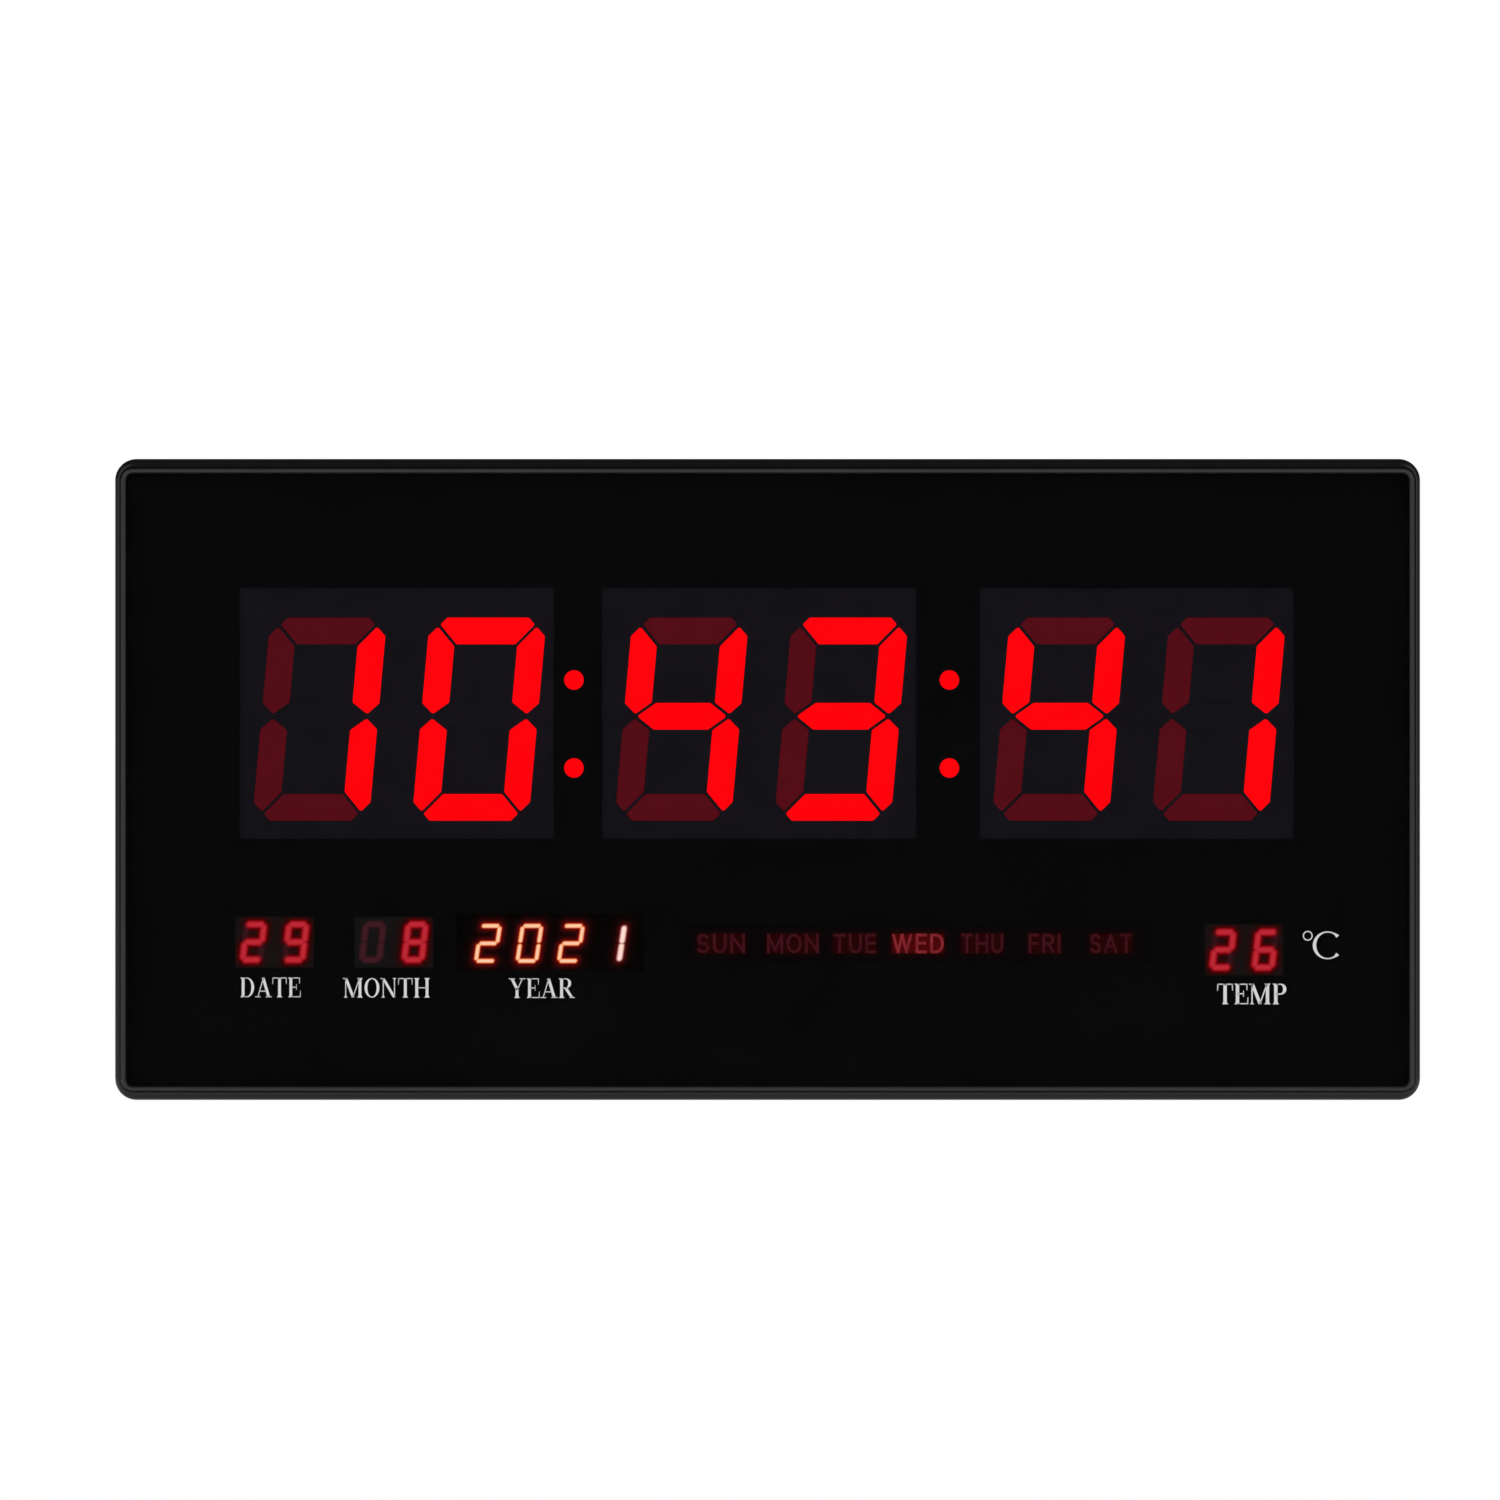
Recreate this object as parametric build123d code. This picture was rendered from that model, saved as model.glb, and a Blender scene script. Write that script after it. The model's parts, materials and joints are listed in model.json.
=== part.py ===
from build123d import *
from collections import namedtuple
import math
import os

# A digital LED wall clock with a calendar and a thermometer, as separate pieces, in millimetres.
#
# The clock is drawn lying on its back: X runs across the dial, Y runs up the dial and Z runs from
# the wall to the viewer, with zero on the wall plane. stand_up then turns each piece so that +Z is
# up and the dial looks along -Y. The origin is the middle of the rear cover's wall face.

# Case outline
CASE_WIDTH = 456.0
CASE_HEIGHT = 224.0
CASE_DEPTH = 30.0
CASE_CORNER = 7.5
CASE_WALL = 2.4
LEAST_CORNER = 1.5
CUT_OVERRUN = 1.0
JOIN_OVERLAP = 0.5

# Rim, from the outer edge inwards: rounded band, groove and bead. The band is slimmer at the sides
BAND_WIDTH = 2.75
SIDE_BAND_SHARE = 0.6
BAND_ROUND = 2.6
BAND_STEP = 0.9
GROOVE_WIDTH = 0.4
GROOVE_DEPTH = 0.6
BEAD_WIDTH = 2.0
BEAD_OUTER_ROUND = 0.9
BEAD_INNER_ROUND = 1.0
LEDGE_WIDTH = 4.65
LEDGE_THICKNESS = 2.2
BEZEL_SETBACK = 0.8
PANEL_INSET = BAND_WIDTH + GROOVE_WIDTH + BEAD_WIDTH
LEDGE_INSET = PANEL_INSET + LEDGE_WIDTH
SIDE_TRIM = BAND_WIDTH * (1 - SIDE_BAND_SHARE)

# Front panel, its printed mask and its tape
PANEL_RECESS = 1.8
PANEL_THICKNESS = 2.0
PANEL_GAP = 0.15
PANEL_EDGE = 0.2
MASK_THICKNESS = 0.15
TAPE_THICKNESS = 0.35
TAPE_MARGIN = 0.4
WINDOW_LIP = 0.3

# Main board, and the jack that sets the room behind it
DISPLAY_GAP = 0.5
BOARD_THICKNESS = 1.6
BOARD_MARGIN = 13.0
BOARD_CORNER = 3.0
JACK_HEIGHT = 8.6
JACK_REAR_GAP = 1.4
COVER_THICKNESS = 2.2

# Levels, measured from the wall plane
BAND_TOP = CASE_DEPTH - BAND_STEP
PANEL_FRONT = CASE_DEPTH - PANEL_RECESS
PANEL_BACK = PANEL_FRONT - PANEL_THICKNESS
MASK_BACK = PANEL_BACK - MASK_THICKNESS
LEDGE_TOP = MASK_BACK - TAPE_THICKNESS
LEDGE_BOTTOM = LEDGE_TOP - LEDGE_THICKNESS
DISPLAY_FRONT = MASK_BACK - DISPLAY_GAP
BOARD_BACK = COVER_THICKNESS + JACK_REAR_GAP + JACK_HEIGHT
BOARD_FRONT = BOARD_BACK + BOARD_THICKNESS

# Seven-segment digits: shape shares of the stroke, common to every size
CORNER_RUN_SHARE = 0.66
CORNER_FALL_SHARE = 0.70
TIP_RUN_SHARE = 0.33
TIP_DROP_SHARE = 0.26
BAR_TIP_SHARE = 0.50
WAIST_TIP_SHARE = 0.42
WAIST_SIDE_SHARE = 0.49
WAIST_SLOPE_SHARE = 0.75
ROUND_SHARE = 0.08
Digit = namedtuple("Digit", "width height stroke gap lift slant")

# Large digits and their three reflector blocks
LARGE_COUNT = 3
LARGE_LEFT_MARGIN = 43.1
LARGE_RIGHT_MARGIN = 43.65
HOURS_SPACE = 16.05
SECONDS_SPACE = 21.4
LARGE_HEIGHT = 71.0
LARGE_STROKE = 9.3
LARGE_GAP = 1.1
LARGE_LIFT = 1.0
LARGE_SLANT_ANGLE = 5.1
LARGE_SPACE = 15.1
LARGE_SHIFT = 0.85
LARGE_DROP = 2.0
REFLECTOR_SIDE = 7.05
REFLECTOR_END = 8.75
REFLECTOR_CORNER = 1.0
LENS_THICKNESS = 2.0
LENS_SETBACK = 0.1
LENS_CLEARANCE = 0.08
LENS_LEDGE = 0.9
PEG_RADIUS = 1.5
PEG_REACH = 25.0
PEG_TAIL = 0.8
PEG_CLEARANCE = 0.1
LARGE_MARGINS = LARGE_LEFT_MARGIN + HOURS_SPACE + SECONDS_SPACE + LARGE_RIGHT_MARGIN
REFLECTOR_WIDTH = (CASE_WIDTH - LARGE_MARGINS) / LARGE_COUNT
LARGE_WIDTH = (REFLECTOR_WIDTH - LARGE_SPACE) / 2 - REFLECTOR_SIDE
LARGE_PITCH = LARGE_WIDTH + LARGE_SPACE
LARGE_DIGIT = Digit(LARGE_WIDTH, LARGE_HEIGHT, LARGE_STROKE, LARGE_GAP, LARGE_LIFT, LARGE_SLANT_ANGLE)
REFLECTOR_HEIGHT = LARGE_HEIGHT + 2 * REFLECTOR_END

# Places of the three large displays and the colon lamps between them
LARGE_ROW_Y = 23.1
LEFT_COLON_SHIFT = -1.4
RIGHT_COLON_SHIFT = 0.5
COLON_DROP = 3.7
COLON_SPACING = 30.75
COLON_RADIUS = 3.4
COLON_FLANGE = 0.6
COLON_FLANGE_HEIGHT = 1.6
COLON_LEAD_RADIUS = 0.3
COLON_LEAD_SPACING = 2.54
HOURS_X = LARGE_LEFT_MARGIN + REFLECTOR_WIDTH / 2 - CASE_WIDTH / 2
MINUTES_X = HOURS_X + REFLECTOR_WIDTH + HOURS_SPACE
SECONDS_X = MINUTES_X + REFLECTOR_WIDTH + SECONDS_SPACE
LEFT_COLON_X = MINUTES_X - (REFLECTOR_WIDTH + HOURS_SPACE) / 2 + LEFT_COLON_SHIFT
RIGHT_COLON_X = MINUTES_X + (REFLECTOR_WIDTH + SECONDS_SPACE) / 2 + RIGHT_COLON_SHIFT
COLON_Y = LARGE_ROW_Y - COLON_DROP

# Surface-mounted lamps under the segments and legends
LAMP_LENGTH = 3.5
LAMP_WIDTH = 2.8
LAMP_HEIGHT = 0.8
LAMP_SPREAD_SHARE = 0.15

# Small digits of the date, month and temperature displays
SMALL_WIDTH = 8.1
SMALL_HEIGHT = 14.4
SMALL_STROKE = 2.1
SMALL_GAP = 0.3
SMALL_SLANT_ANGLE = 6.5
SMALL_SPACE = 6.7
SMALL_SIDE = 2.6
SMALL_END = 2.0
SMALL_DIGIT = Digit(SMALL_WIDTH, SMALL_HEIGHT, SMALL_STROKE, SMALL_GAP, 0, SMALL_SLANT_ANGLE)
SMALL_PITCH = SMALL_WIDTH + SMALL_SPACE
PAIR_COUNT = 3
PAIR_WIDTH = SMALL_PITCH + SMALL_WIDTH + 2 * SMALL_SIDE
PAIR_HEIGHT = SMALL_HEIGHT + 2 * SMALL_END

# Year digits
YEAR_DIGIT_WIDTH = 7.9
YEAR_DIGIT_HEIGHT = 13.6
YEAR_STROKE = 1.5
YEAR_GAP = 0.25
YEAR_SLANT_ANGLE = 8.0
YEAR_SPACE = 6.6
YEAR_SIDE = 7.3
YEAR_END = 3.5
YEAR_DIGIT = Digit(YEAR_DIGIT_WIDTH, YEAR_DIGIT_HEIGHT, YEAR_STROKE, YEAR_GAP, 0, YEAR_SLANT_ANGLE)
YEAR_PITCH = YEAR_DIGIT_WIDTH + YEAR_SPACE
YEAR_COUNT = 4
YEAR_WIDTH = (YEAR_COUNT - 1) * YEAR_PITCH + YEAR_DIGIT_WIDTH + 2 * YEAR_SIDE
YEAR_HEIGHT = YEAR_DIGIT_HEIGHT + 2 * YEAR_END

# Housings of the small displays
SMALL_LENS = 0.9
SMALL_CLEARANCE = 0.04
PIN_RADIUS = 0.3
PIN_PITCH = 2.54
PIN_COUNT = 5
PIN_EDGE = 1.1
PIN_TAIL = 1.0
PIN_CLEARANCE = 0.1

# Row of small displays, chained from left to right
ROW_LEFT_MARGIN = 41.6
ROW_RIGHT_MARGIN = 47.42
ROW_GAP = 26.5
DATE_SPACE = 13.6
MONTH_SPACE = 7.6
YEAR_RIGHT_SPACE = 12.2
WEEKDAY_SPACE = 17.7
TEMPERATURE_DROP = 2.7
ROW_Y = LARGE_ROW_Y - (REFLECTOR_HEIGHT + PAIR_HEIGHT) / 2 - ROW_GAP

# Weekday light box: seven cells behind one film
WEEKDAY_COUNT = 7
WEEKDAY_HEIGHT = 14.6
WEEKDAY_WALL = 1.5
WEEKDAY_END = 3.2
WEEKDAY_DROP = 0.5
FILM_THICKNESS = 0.8
FILM_CLEARANCE = 0.1
FILM_LIP = 0.6
WEEKDAY_PEG_RADIUS = 0.9
ROW_SPACES = DATE_SPACE + MONTH_SPACE + YEAR_RIGHT_SPACE + WEEKDAY_SPACE
ROW_WIDTH = CASE_WIDTH - ROW_LEFT_MARGIN - ROW_RIGHT_MARGIN
WEEKDAY_WIDTH = ROW_WIDTH - ROW_SPACES - PAIR_COUNT * PAIR_WIDTH - YEAR_WIDTH
WEEKDAY_PITCH = (WEEKDAY_WIDTH - 2 * WEEKDAY_END) / WEEKDAY_COUNT
DATE_X = ROW_LEFT_MARGIN + PAIR_WIDTH / 2 - CASE_WIDTH / 2
MONTH_X = DATE_X + PAIR_WIDTH + DATE_SPACE
YEAR_X = MONTH_X + (PAIR_WIDTH + YEAR_WIDTH) / 2 + MONTH_SPACE
WEEKDAY_X = YEAR_X + (YEAR_WIDTH + WEEKDAY_WIDTH) / 2 + YEAR_RIGHT_SPACE
TEMPERATURE_X = WEEKDAY_X + (WEEKDAY_WIDTH + PAIR_WIDTH) / 2 + WEEKDAY_SPACE
TEMPERATURE_Y = ROW_Y - TEMPERATURE_DROP
WEEKDAY_Y = ROW_Y - WEEKDAY_DROP

# Lit segments of each digit, by letter: ten, forty-three and forty-one, and the calendar below
HOURS_LIT = ("bc", "abcdef")
MINUTES_LIT = ("bcfg", "abcdg")
SECONDS_LIT = ("bcfg", "bc")
DATE_LIT = ("abdeg", "abcdfg")
MONTH_LIT = ("", "abcdefg")
YEAR_LIT = ("abdeg", "abcdef", "abdeg", "bc")
TEMPERATURE_LIT = ("abdeg", "acdefg")

# Screws: one head and shank, in two lengths
SHANK_RADIUS = 1.4
SHANK_CLEARANCE = 0.05
HEAD_RADIUS = 2.5
HEAD_HEIGHT = 1.9
HEAD_ROUND = 0.7
CROSS_LENGTH = 3.0
CROSS_WIDTH = 0.7
CROSS_DEPTH = 1.0
TIP_LENGTH = 1.2
TIP_RADIUS = 0.4
COVER_SCREW_LENGTH = 12.0
BOARD_SCREW_SPARE = 2.75
PILOT_SPARE = 0.8
BOARD_SCREW_LENGTH = LEDGE_TOP - BOARD_BACK - BOARD_SCREW_SPARE

# Screw bosses and board posts of the bezel
BOSS_RADIUS = 3.5
COVER_SCREW_INSET = 6.2
COVER_SCREW_SPAN = 150.0
POST_RADIUS = 3.5
POST_INSET = 6.0
TAB_WIDTH = 9.0
BOARD_HOLE_CLEARANCE = 0.2

# Rear cover
COVER_GAP = 0.25
COVER_CHAMFER = 0.6
COVER_RIB_SETBACK = 0.3
COVER_RIB_THICKNESS = 1.6
COVER_RIB_GAP = 0.2
SCREW_SEAT = 3.2
TOWER_TOP = 5.4
HEAD_CLEARANCE = 0.25
COVER_INSET = CASE_WALL + COVER_GAP

# Keyholes for two wall screws
KEYHOLE_SPAN = 260.0
KEYHOLE_INSET = 36.0
ENTRY_RADIUS = 4.25
SLOT_WIDTH = 4.4
SLOT_LENGTH = 9.0
CUP_SIDE = 1.4
CUP_DEPTH = 6.5
CUP_WALL = 1.6
CUP_CORNER = 1.2
KEYHOLE_Y = CASE_HEIGHT / 2 - KEYHOLE_INSET

# Setting buttons in a recessed bay, with their switches
BUTTON_NAMES = ("set", "up", "down", "alarm")
BUTTON_PITCH = 14.0
BUTTON_ROW_INSET = 78.0
BUTTON_ROW_Y = -36.0
BUTTON_RADIUS = 3.5
BUTTON_CLEARANCE = 0.25
BUTTON_ROUND = 0.6
BUTTON_SETBACK = 0.7
BUTTON_TRAVEL = 0.4
BUTTON_REST_GAP = 0.05
FLANGE_OVERHANG = 1.3
FLANGE_THICKNESS = 1.0
STEM_RADIUS = 2.2
BAY_DEPTH = 2.2
BAY_MARGIN = 4.5
BAY_CORNER = 2.0
SWITCH_SIDE = 6.0
SWITCH_HEIGHT = 3.5
PLUNGER_RADIUS = 1.7
PLUNGER_RISE = 2.5
PLUNGER_SEAT = 1.2
PLUNGER_CLEARANCE = 0.1
PLUNGER_SPARE = 0.2
BUTTON_ROW_X = CASE_WIDTH / 2 - BUTTON_ROW_INSET
BAY_INNER = BAY_DEPTH + COVER_THICKNESS
PLUNGER_TIP = BOARD_BACK - SWITCH_HEIGHT - PLUNGER_RISE

# Coin cell on the board, under a hinged door in the cover
CELL_INSET = 98.0
CELL_Y = -32.0
CELL_RADIUS = 10.0
CELL_THICKNESS = 3.2
CELL_STEP = 0.9
CELL_CLEARANCE = 0.15
CELL_EDGE = 0.3
HOLDER_WIDTH = 25.0
HOLDER_HEIGHT = 23.0
HOLDER_FLOOR = 1.6
HOLDER_RIM = 0.1
CONTACT_THICKNESS = 0.3
CONTACT_WIDTH = 6.0
CONTACT_LENGTH = 14.0
STRAP_THICKNESS = 0.4
DOOR_WIDTH = 38.0
DOOR_HEIGHT = 32.0
DOOR_THICKNESS = 1.8
DOOR_SETBACK = 0.2
DOOR_GAP = 0.3
DOOR_SEAT_GAP = 0.2
DOOR_CORNER = 1.2
KNUCKLE_RADIUS = 1.2
HINGE_PIN_RADIUS = 0.8
HINGE_PIN_LENGTH = 1.8
HINGE_CLEARANCE = 0.08
NOTCH_RADIUS = 6.0
NOTCH_DEPTH = 1.5
WELL_LEDGE = 4.0
WELL_WALL = 1.6
WELL_GAP = 0.4
CELL_X = CELL_INSET - CASE_WIDTH / 2
CELL_BACK = BOARD_BACK - HOLDER_FLOOR - CONTACT_THICKNESS - CELL_THICKNESS
HOLDER_BACK = CELL_BACK - HOLDER_RIM
STRAP_BACK = HOLDER_BACK - STRAP_THICKNESS
DOOR_SEAT = DOOR_SETBACK + DOOR_THICKNESS + DOOR_SEAT_GAP
DOOR_TOP_Y = CELL_Y + DOOR_HEIGHT / 2
HINGE_Y = DOOR_TOP_Y - KNUCKLE_RADIUS
HINGE_Z = DOOR_SETBACK + KNUCKLE_RADIUS

# Power jack, entered from below
JACK_X = 60.0
JACK_WIDTH = 9.0
JACK_LENGTH = 12.0
JACK_NOSE_RADIUS = 4.0
JACK_NOSE_LENGTH = 8.0
JACK_AXIS_DROP = 4.3
JACK_SETBACK = 0.4
JACK_CLEARANCE = 0.25
JACK_BORE_RADIUS = 3.0
JACK_BORE_DEPTH = 10.0
JACK_PIN_RADIUS = 1.05
JACK_PIN_SETBACK = 1.5
JACK_PIN_ROUND = 0.5

# Chips and small electronic pieces on the rear of the board
CHIP_LEG_WIDTH = 0.4
CHIP_LEG_PITCH = 1.27
CHIP_LEG_REACH = 1.4
CHIP_LEG_THICKNESS = 0.3
CHIP_END = 1.27
CHIP_BODY_WIDTH = 7.5
CHIP_HEIGHT = 2.4
CHIP_STANDOFF = 0.15
CLOCK_CHIP_LEG_COUNT = 14
CLOCK_CHIP_X = -20.0
CLOCK_CHIP_Y = -34.0
DRIVER_LEG_COUNT = 12
DRIVER_RISE = 2.0
RESISTOR_LENGTH = 2.0
RESISTOR_WIDTH = 1.25
RESISTOR_HEIGHT = 0.6
RESISTOR_PITCH = 3.2
RESISTOR_COUNT = 7
RESISTOR_DROP = 9.0
CRYSTAL_X = -48.0
CRYSTAL_LENGTH = 11.0
CRYSTAL_WIDTH = 4.7
CRYSTAL_HEIGHT = 3.5
CRYSTAL_FLANGE = 0.4
BUZZER_X = 40.0
BUZZER_Y = -34.0
BUZZER_RADIUS = 6.0
BUZZER_HEIGHT = 7.0
BUZZER_PORT_RADIUS = 1.0
BUZZER_PORT_DEPTH = 2.0
CAPACITOR_X = 90.0
CAPACITOR_INSET = 27.0
CAPACITOR_PITCH = 12.0
CAPACITOR_COUNT = 2
CAPACITOR_RADIUS = 4.0
CAPACITOR_HEIGHT = 8.0
CAPACITOR_ROUND = 0.5
CAPACITOR_Y = CAPACITOR_INSET - CASE_HEIGHT / 2
SENSOR_SIDE_INSET = 40.0
SENSOR_FOOT_INSET = 32.0
SENSOR_BEAD_RADIUS = 1.4
SENSOR_LEAD_RADIUS = 0.3
SENSOR_LEAD_SPACING = 1.3
SENSOR_HEIGHT = 7.0
SENSOR_X = CASE_WIDTH / 2 - SENSOR_SIDE_INSET
SENSOR_Y = SENSOR_FOOT_INSET - CASE_HEIGHT / 2

# Openings of the rear cover
VENT_LENGTH = 36.0
VENT_WIDTH = 2.2
VENT_PITCH = 6.0
VENT_COUNT = 7
VENT_X = 62.0
VENT_Y = 28.0
SENSOR_VENT_LENGTH = 12.0
SENSOR_VENT_COUNT = 3
SOUND_HOLE_RADIUS = 0.9
SOUND_RING_RADIUS = 3.6
SOUND_HOLE_COUNT = 6
LABEL_WIDTH = 84.0
LABEL_HEIGHT = 30.0
LABEL_DEPTH = 0.4
LABEL_INSET = 38.0
LABEL_Y = CASE_HEIGHT / 2 - LABEL_INSET

BASE = (Align.CENTER, Align.CENTER, Align.MIN)
UP = (0, 0, 1)


def block(width, height, bottom, top, x=0, y=0):
    """An upright box centred on (x, y) between two levels."""
    return Pos(x, y, bottom) * Box(width, height, top - bottom, align=BASE)


def column(radius, bottom, top, x=0, y=0):
    """An upright cylinder on (x, y) between two levels."""
    return Pos(x, y, bottom) * Cylinder(radius, top - bottom, align=BASE)


def rounded_block(width, height, corner, bottom, top, x=0, y=0):
    """An upright plate with rounded corners between two levels."""
    outline = RectangleRounded(width, height, corner)
    return Pos(x, y, bottom) * extrude(outline, amount=top - bottom)


def case_plate(inset, bottom, top, side_trim=0):
    """A plate of the case's outline, drawn in by inset, and by side_trim less at the two sides."""
    corner = max(CASE_CORNER - inset, LEAST_CORNER)
    width = CASE_WIDTH - 2 * (inset - side_trim)
    return rounded_block(width, CASE_HEIGHT - 2 * inset, corner, bottom, top)


def case_ring(outer_inset, inner_inset, bottom, top, side_trim=0):
    """A ring between two insets of the case's outline."""
    hole = case_plate(inner_inset, bottom - CUT_OVERRUN, top + CUT_OVERRUN, side_trim)
    return case_plate(outer_inset, bottom, top, side_trim) - hole


def top_face(shape):
    """The highest flat face."""
    return shape.faces().filter_by(GeomType.PLANE).sort_by(Axis.Z)[-1]


def bottom_face(shape):
    """The lowest flat face."""
    return shape.faces().filter_by(GeomType.PLANE).sort_by(Axis.Z)[0]


def mirrored_places(x, y):
    """The four places at plus and minus x and y."""
    return [(side * x, end * y) for side in (-1, 1) for end in (-1, 1)]


def spread(count, pitch):
    """Places of a centred row."""
    return [(index - (count - 1) / 2) * pitch for index in range(count)]


def cover_screw_places():
    """Four corners, and two places along the top and the bottom."""
    edge_x = CASE_WIDTH / 2 - COVER_SCREW_INSET
    edge_y = CASE_HEIGHT / 2 - COVER_SCREW_INSET
    return mirrored_places(edge_x, edge_y) + mirrored_places(COVER_SCREW_SPAN / 2, edge_y)


def board_size():
    """Width and height of the main board."""
    return CASE_WIDTH - 2 * BOARD_MARGIN, CASE_HEIGHT - 2 * BOARD_MARGIN


def board_post_places():
    """Four corners of the board, and the middle of its top and bottom edges."""
    width, height = board_size()
    post_y = height / 2 - POST_INSET
    return mirrored_places(width / 2 - POST_INSET, post_y) + [(0, -post_y), (0, post_y)]


def button_places():
    """Each button's name with its place."""
    row = [(BUTTON_ROW_X + offset, BUTTON_ROW_Y) for offset in spread(len(BUTTON_NAMES), BUTTON_PITCH)]
    return list(zip(BUTTON_NAMES, row))


# Digits


def lean(points, size):
    """Slant points to the right in proportion to their height."""
    slope = math.tan(math.radians(size.slant))
    return [(x + y * slope, y) for x, y in points]


def bar_points(size, reach):
    """Top bar: clipped outer corners and mitred ends, with its outer edge at height reach."""
    half = size.width / 2
    run = CORNER_RUN_SHARE * size.stroke
    tip = TIP_RUN_SHARE * size.stroke
    drop = TIP_DROP_SHARE * size.stroke
    slip = size.gap / math.sqrt(2)
    right = [
        (half - run, reach),
        (half - tip - slip, reach - drop),
        (half - size.stroke - slip, reach - size.stroke),
    ]
    left = [(-x, y) for x, y in reversed(right)]
    return right + left


def side_points(size, reach):
    """Upper left upright: mitred at the top, sloped along the middle bar at its foot."""
    half = size.width / 2
    drop = TIP_DROP_SHARE * size.stroke
    slip = size.gap / math.sqrt(2)
    rise = size.gap * math.sqrt(1 + WAIST_SLOPE_SHARE**2)
    inner = WAIST_SLOPE_SHARE * (1 - BAR_TIP_SHARE) * size.stroke + rise
    tip = WAIST_SLOPE_SHARE * (WAIST_TIP_SHARE - BAR_TIP_SHARE) * size.stroke + rise
    return [
        (TIP_RUN_SHARE * size.stroke - half, reach - drop - slip),
        (size.stroke - half, reach - size.stroke - slip),
        (size.stroke - half, inner),
        (WAIST_TIP_SHARE * size.stroke - half, tip),
        (-half, WAIST_SIDE_SHARE * size.stroke),
        (-half, reach - CORNER_FALL_SHARE * size.stroke),
    ]


def middle_points(size):
    """Middle bar with pointed ends."""
    tip = size.width / 2 - BAR_TIP_SHARE * size.stroke
    shoulder = tip - size.stroke / 2 / WAIST_SLOPE_SHARE
    half = size.stroke / 2
    return [(tip, 0), (shoulder, half), (-shoulder, half), (-tip, 0), (-shoulder, -half), (shoulder, -half)]


def digit_points(size):
    """The seven outlines by letter, unslanted, with the middle bar at height zero."""
    upper = size.height / 2 - size.lift
    lower = size.height / 2 + size.lift
    upright = side_points(size, upper)
    foot = [(x, -y) for x, y in side_points(size, lower)]
    return {
        "a": bar_points(size, upper),
        "b": [(-x, y) for x, y in upright],
        "c": [(-x, y) for x, y in foot],
        "d": [(x, -y) for x, y in bar_points(size, lower)],
        "e": foot,
        "f": upright,
        "g": middle_points(size),
    }


def digit_outlines(size):
    """The seven slanted outlines by letter, centred on the digit."""
    outlines = {}
    for letter, points in digit_points(size).items():
        raised = [(x, y + size.lift) for x, y in points]
        sketch = Polygon(*lean(raised, size), align=None)
        outlines[letter] = fillet(sketch.vertices(), ROUND_SHARE * size.stroke)
    return outlines


def raise_outline(outline, x, y, bottom, top):
    """A prism of one outline between two levels."""
    return Pos(x, y, bottom) * extrude(outline, amount=top - bottom, dir=UP)


def split_segments(outlines, lit_letters, places, bottom, top):
    """Lens prisms in two lists: the lit and the dark ones of a display."""
    lit = []
    dark = []
    for letters, (x, y) in zip(lit_letters, places):
        for letter, outline in outlines.items():
            prism = raise_outline(outline, x, y, bottom, top)
            group = lit if letter in letters else dark
            group.append(prism)
    return lit, dark


def large_places():
    """Places of the two digits, from the middle of a reflector block."""
    return [(LARGE_SHIFT + offset, -LARGE_DROP) for offset in spread(2, LARGE_PITCH)]


def reflector_pegs():
    """Places of the two locating pegs, between the digits."""
    slope = math.tan(math.radians(LARGE_SLANT_ANGLE))
    return [(LARGE_SHIFT + reach * slope, reach - LARGE_DROP) for reach in (-PEG_REACH, PEG_REACH)]


def make_reflector(outlines):
    """A block with a stepped light well under each segment and two pegs into the board."""
    lens_seat = DISPLAY_FRONT - LENS_SETBACK - LENS_THICKNESS
    body = rounded_block(REFLECTOR_WIDTH, REFLECTOR_HEIGHT, REFLECTOR_CORNER, BOARD_FRONT, DISPLAY_FRONT)
    cuts = []
    for x, y in large_places():
        for outline in outlines.values():
            seat = offset(outline, amount=LENS_CLEARANCE)
            well = offset(outline, amount=-LENS_LEDGE)
            cuts.append(raise_outline(seat, x, y, lens_seat, DISPLAY_FRONT + CUT_OVERRUN))
            cuts.append(raise_outline(well, x, y, BOARD_FRONT - CUT_OVERRUN, lens_seat + CUT_OVERRUN))
    peg_end = BOARD_BACK - PEG_TAIL
    pegs = [column(PEG_RADIUS, peg_end, BOARD_FRONT + JOIN_OVERLAP, x, y) for x, y in reflector_pegs()]
    return body - cuts + pegs


def lamp_box(x, y, turned=False):
    """One surface-mounted lamp on the front of the board."""
    length, width = (LAMP_WIDTH, LAMP_LENGTH) if turned else (LAMP_LENGTH, LAMP_WIDTH)
    return block(length, width, BOARD_FRONT, BOARD_FRONT + LAMP_HEIGHT, x, y)


def reflector_lamps(outlines):
    """Two lamps under each segment, along its length."""
    lamps = []
    for letter, outline in outlines.items():
        box = outline.bounding_box()
        middle = box.center()
        upright = letter in "bcef"
        reach = LAMP_SPREAD_SHARE * (box.size.Y if upright else box.size.X)
        slope = math.tan(math.radians(LARGE_SLANT_ANGLE)) if upright else 0
        for step in (-reach, reach):
            along = (step * slope, step) if upright else (step, 0)
            for x, y in large_places():
                lamps.append(lamp_box(x + middle.X + along[0], y + middle.Y + along[1], upright))
    return lamps


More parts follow.
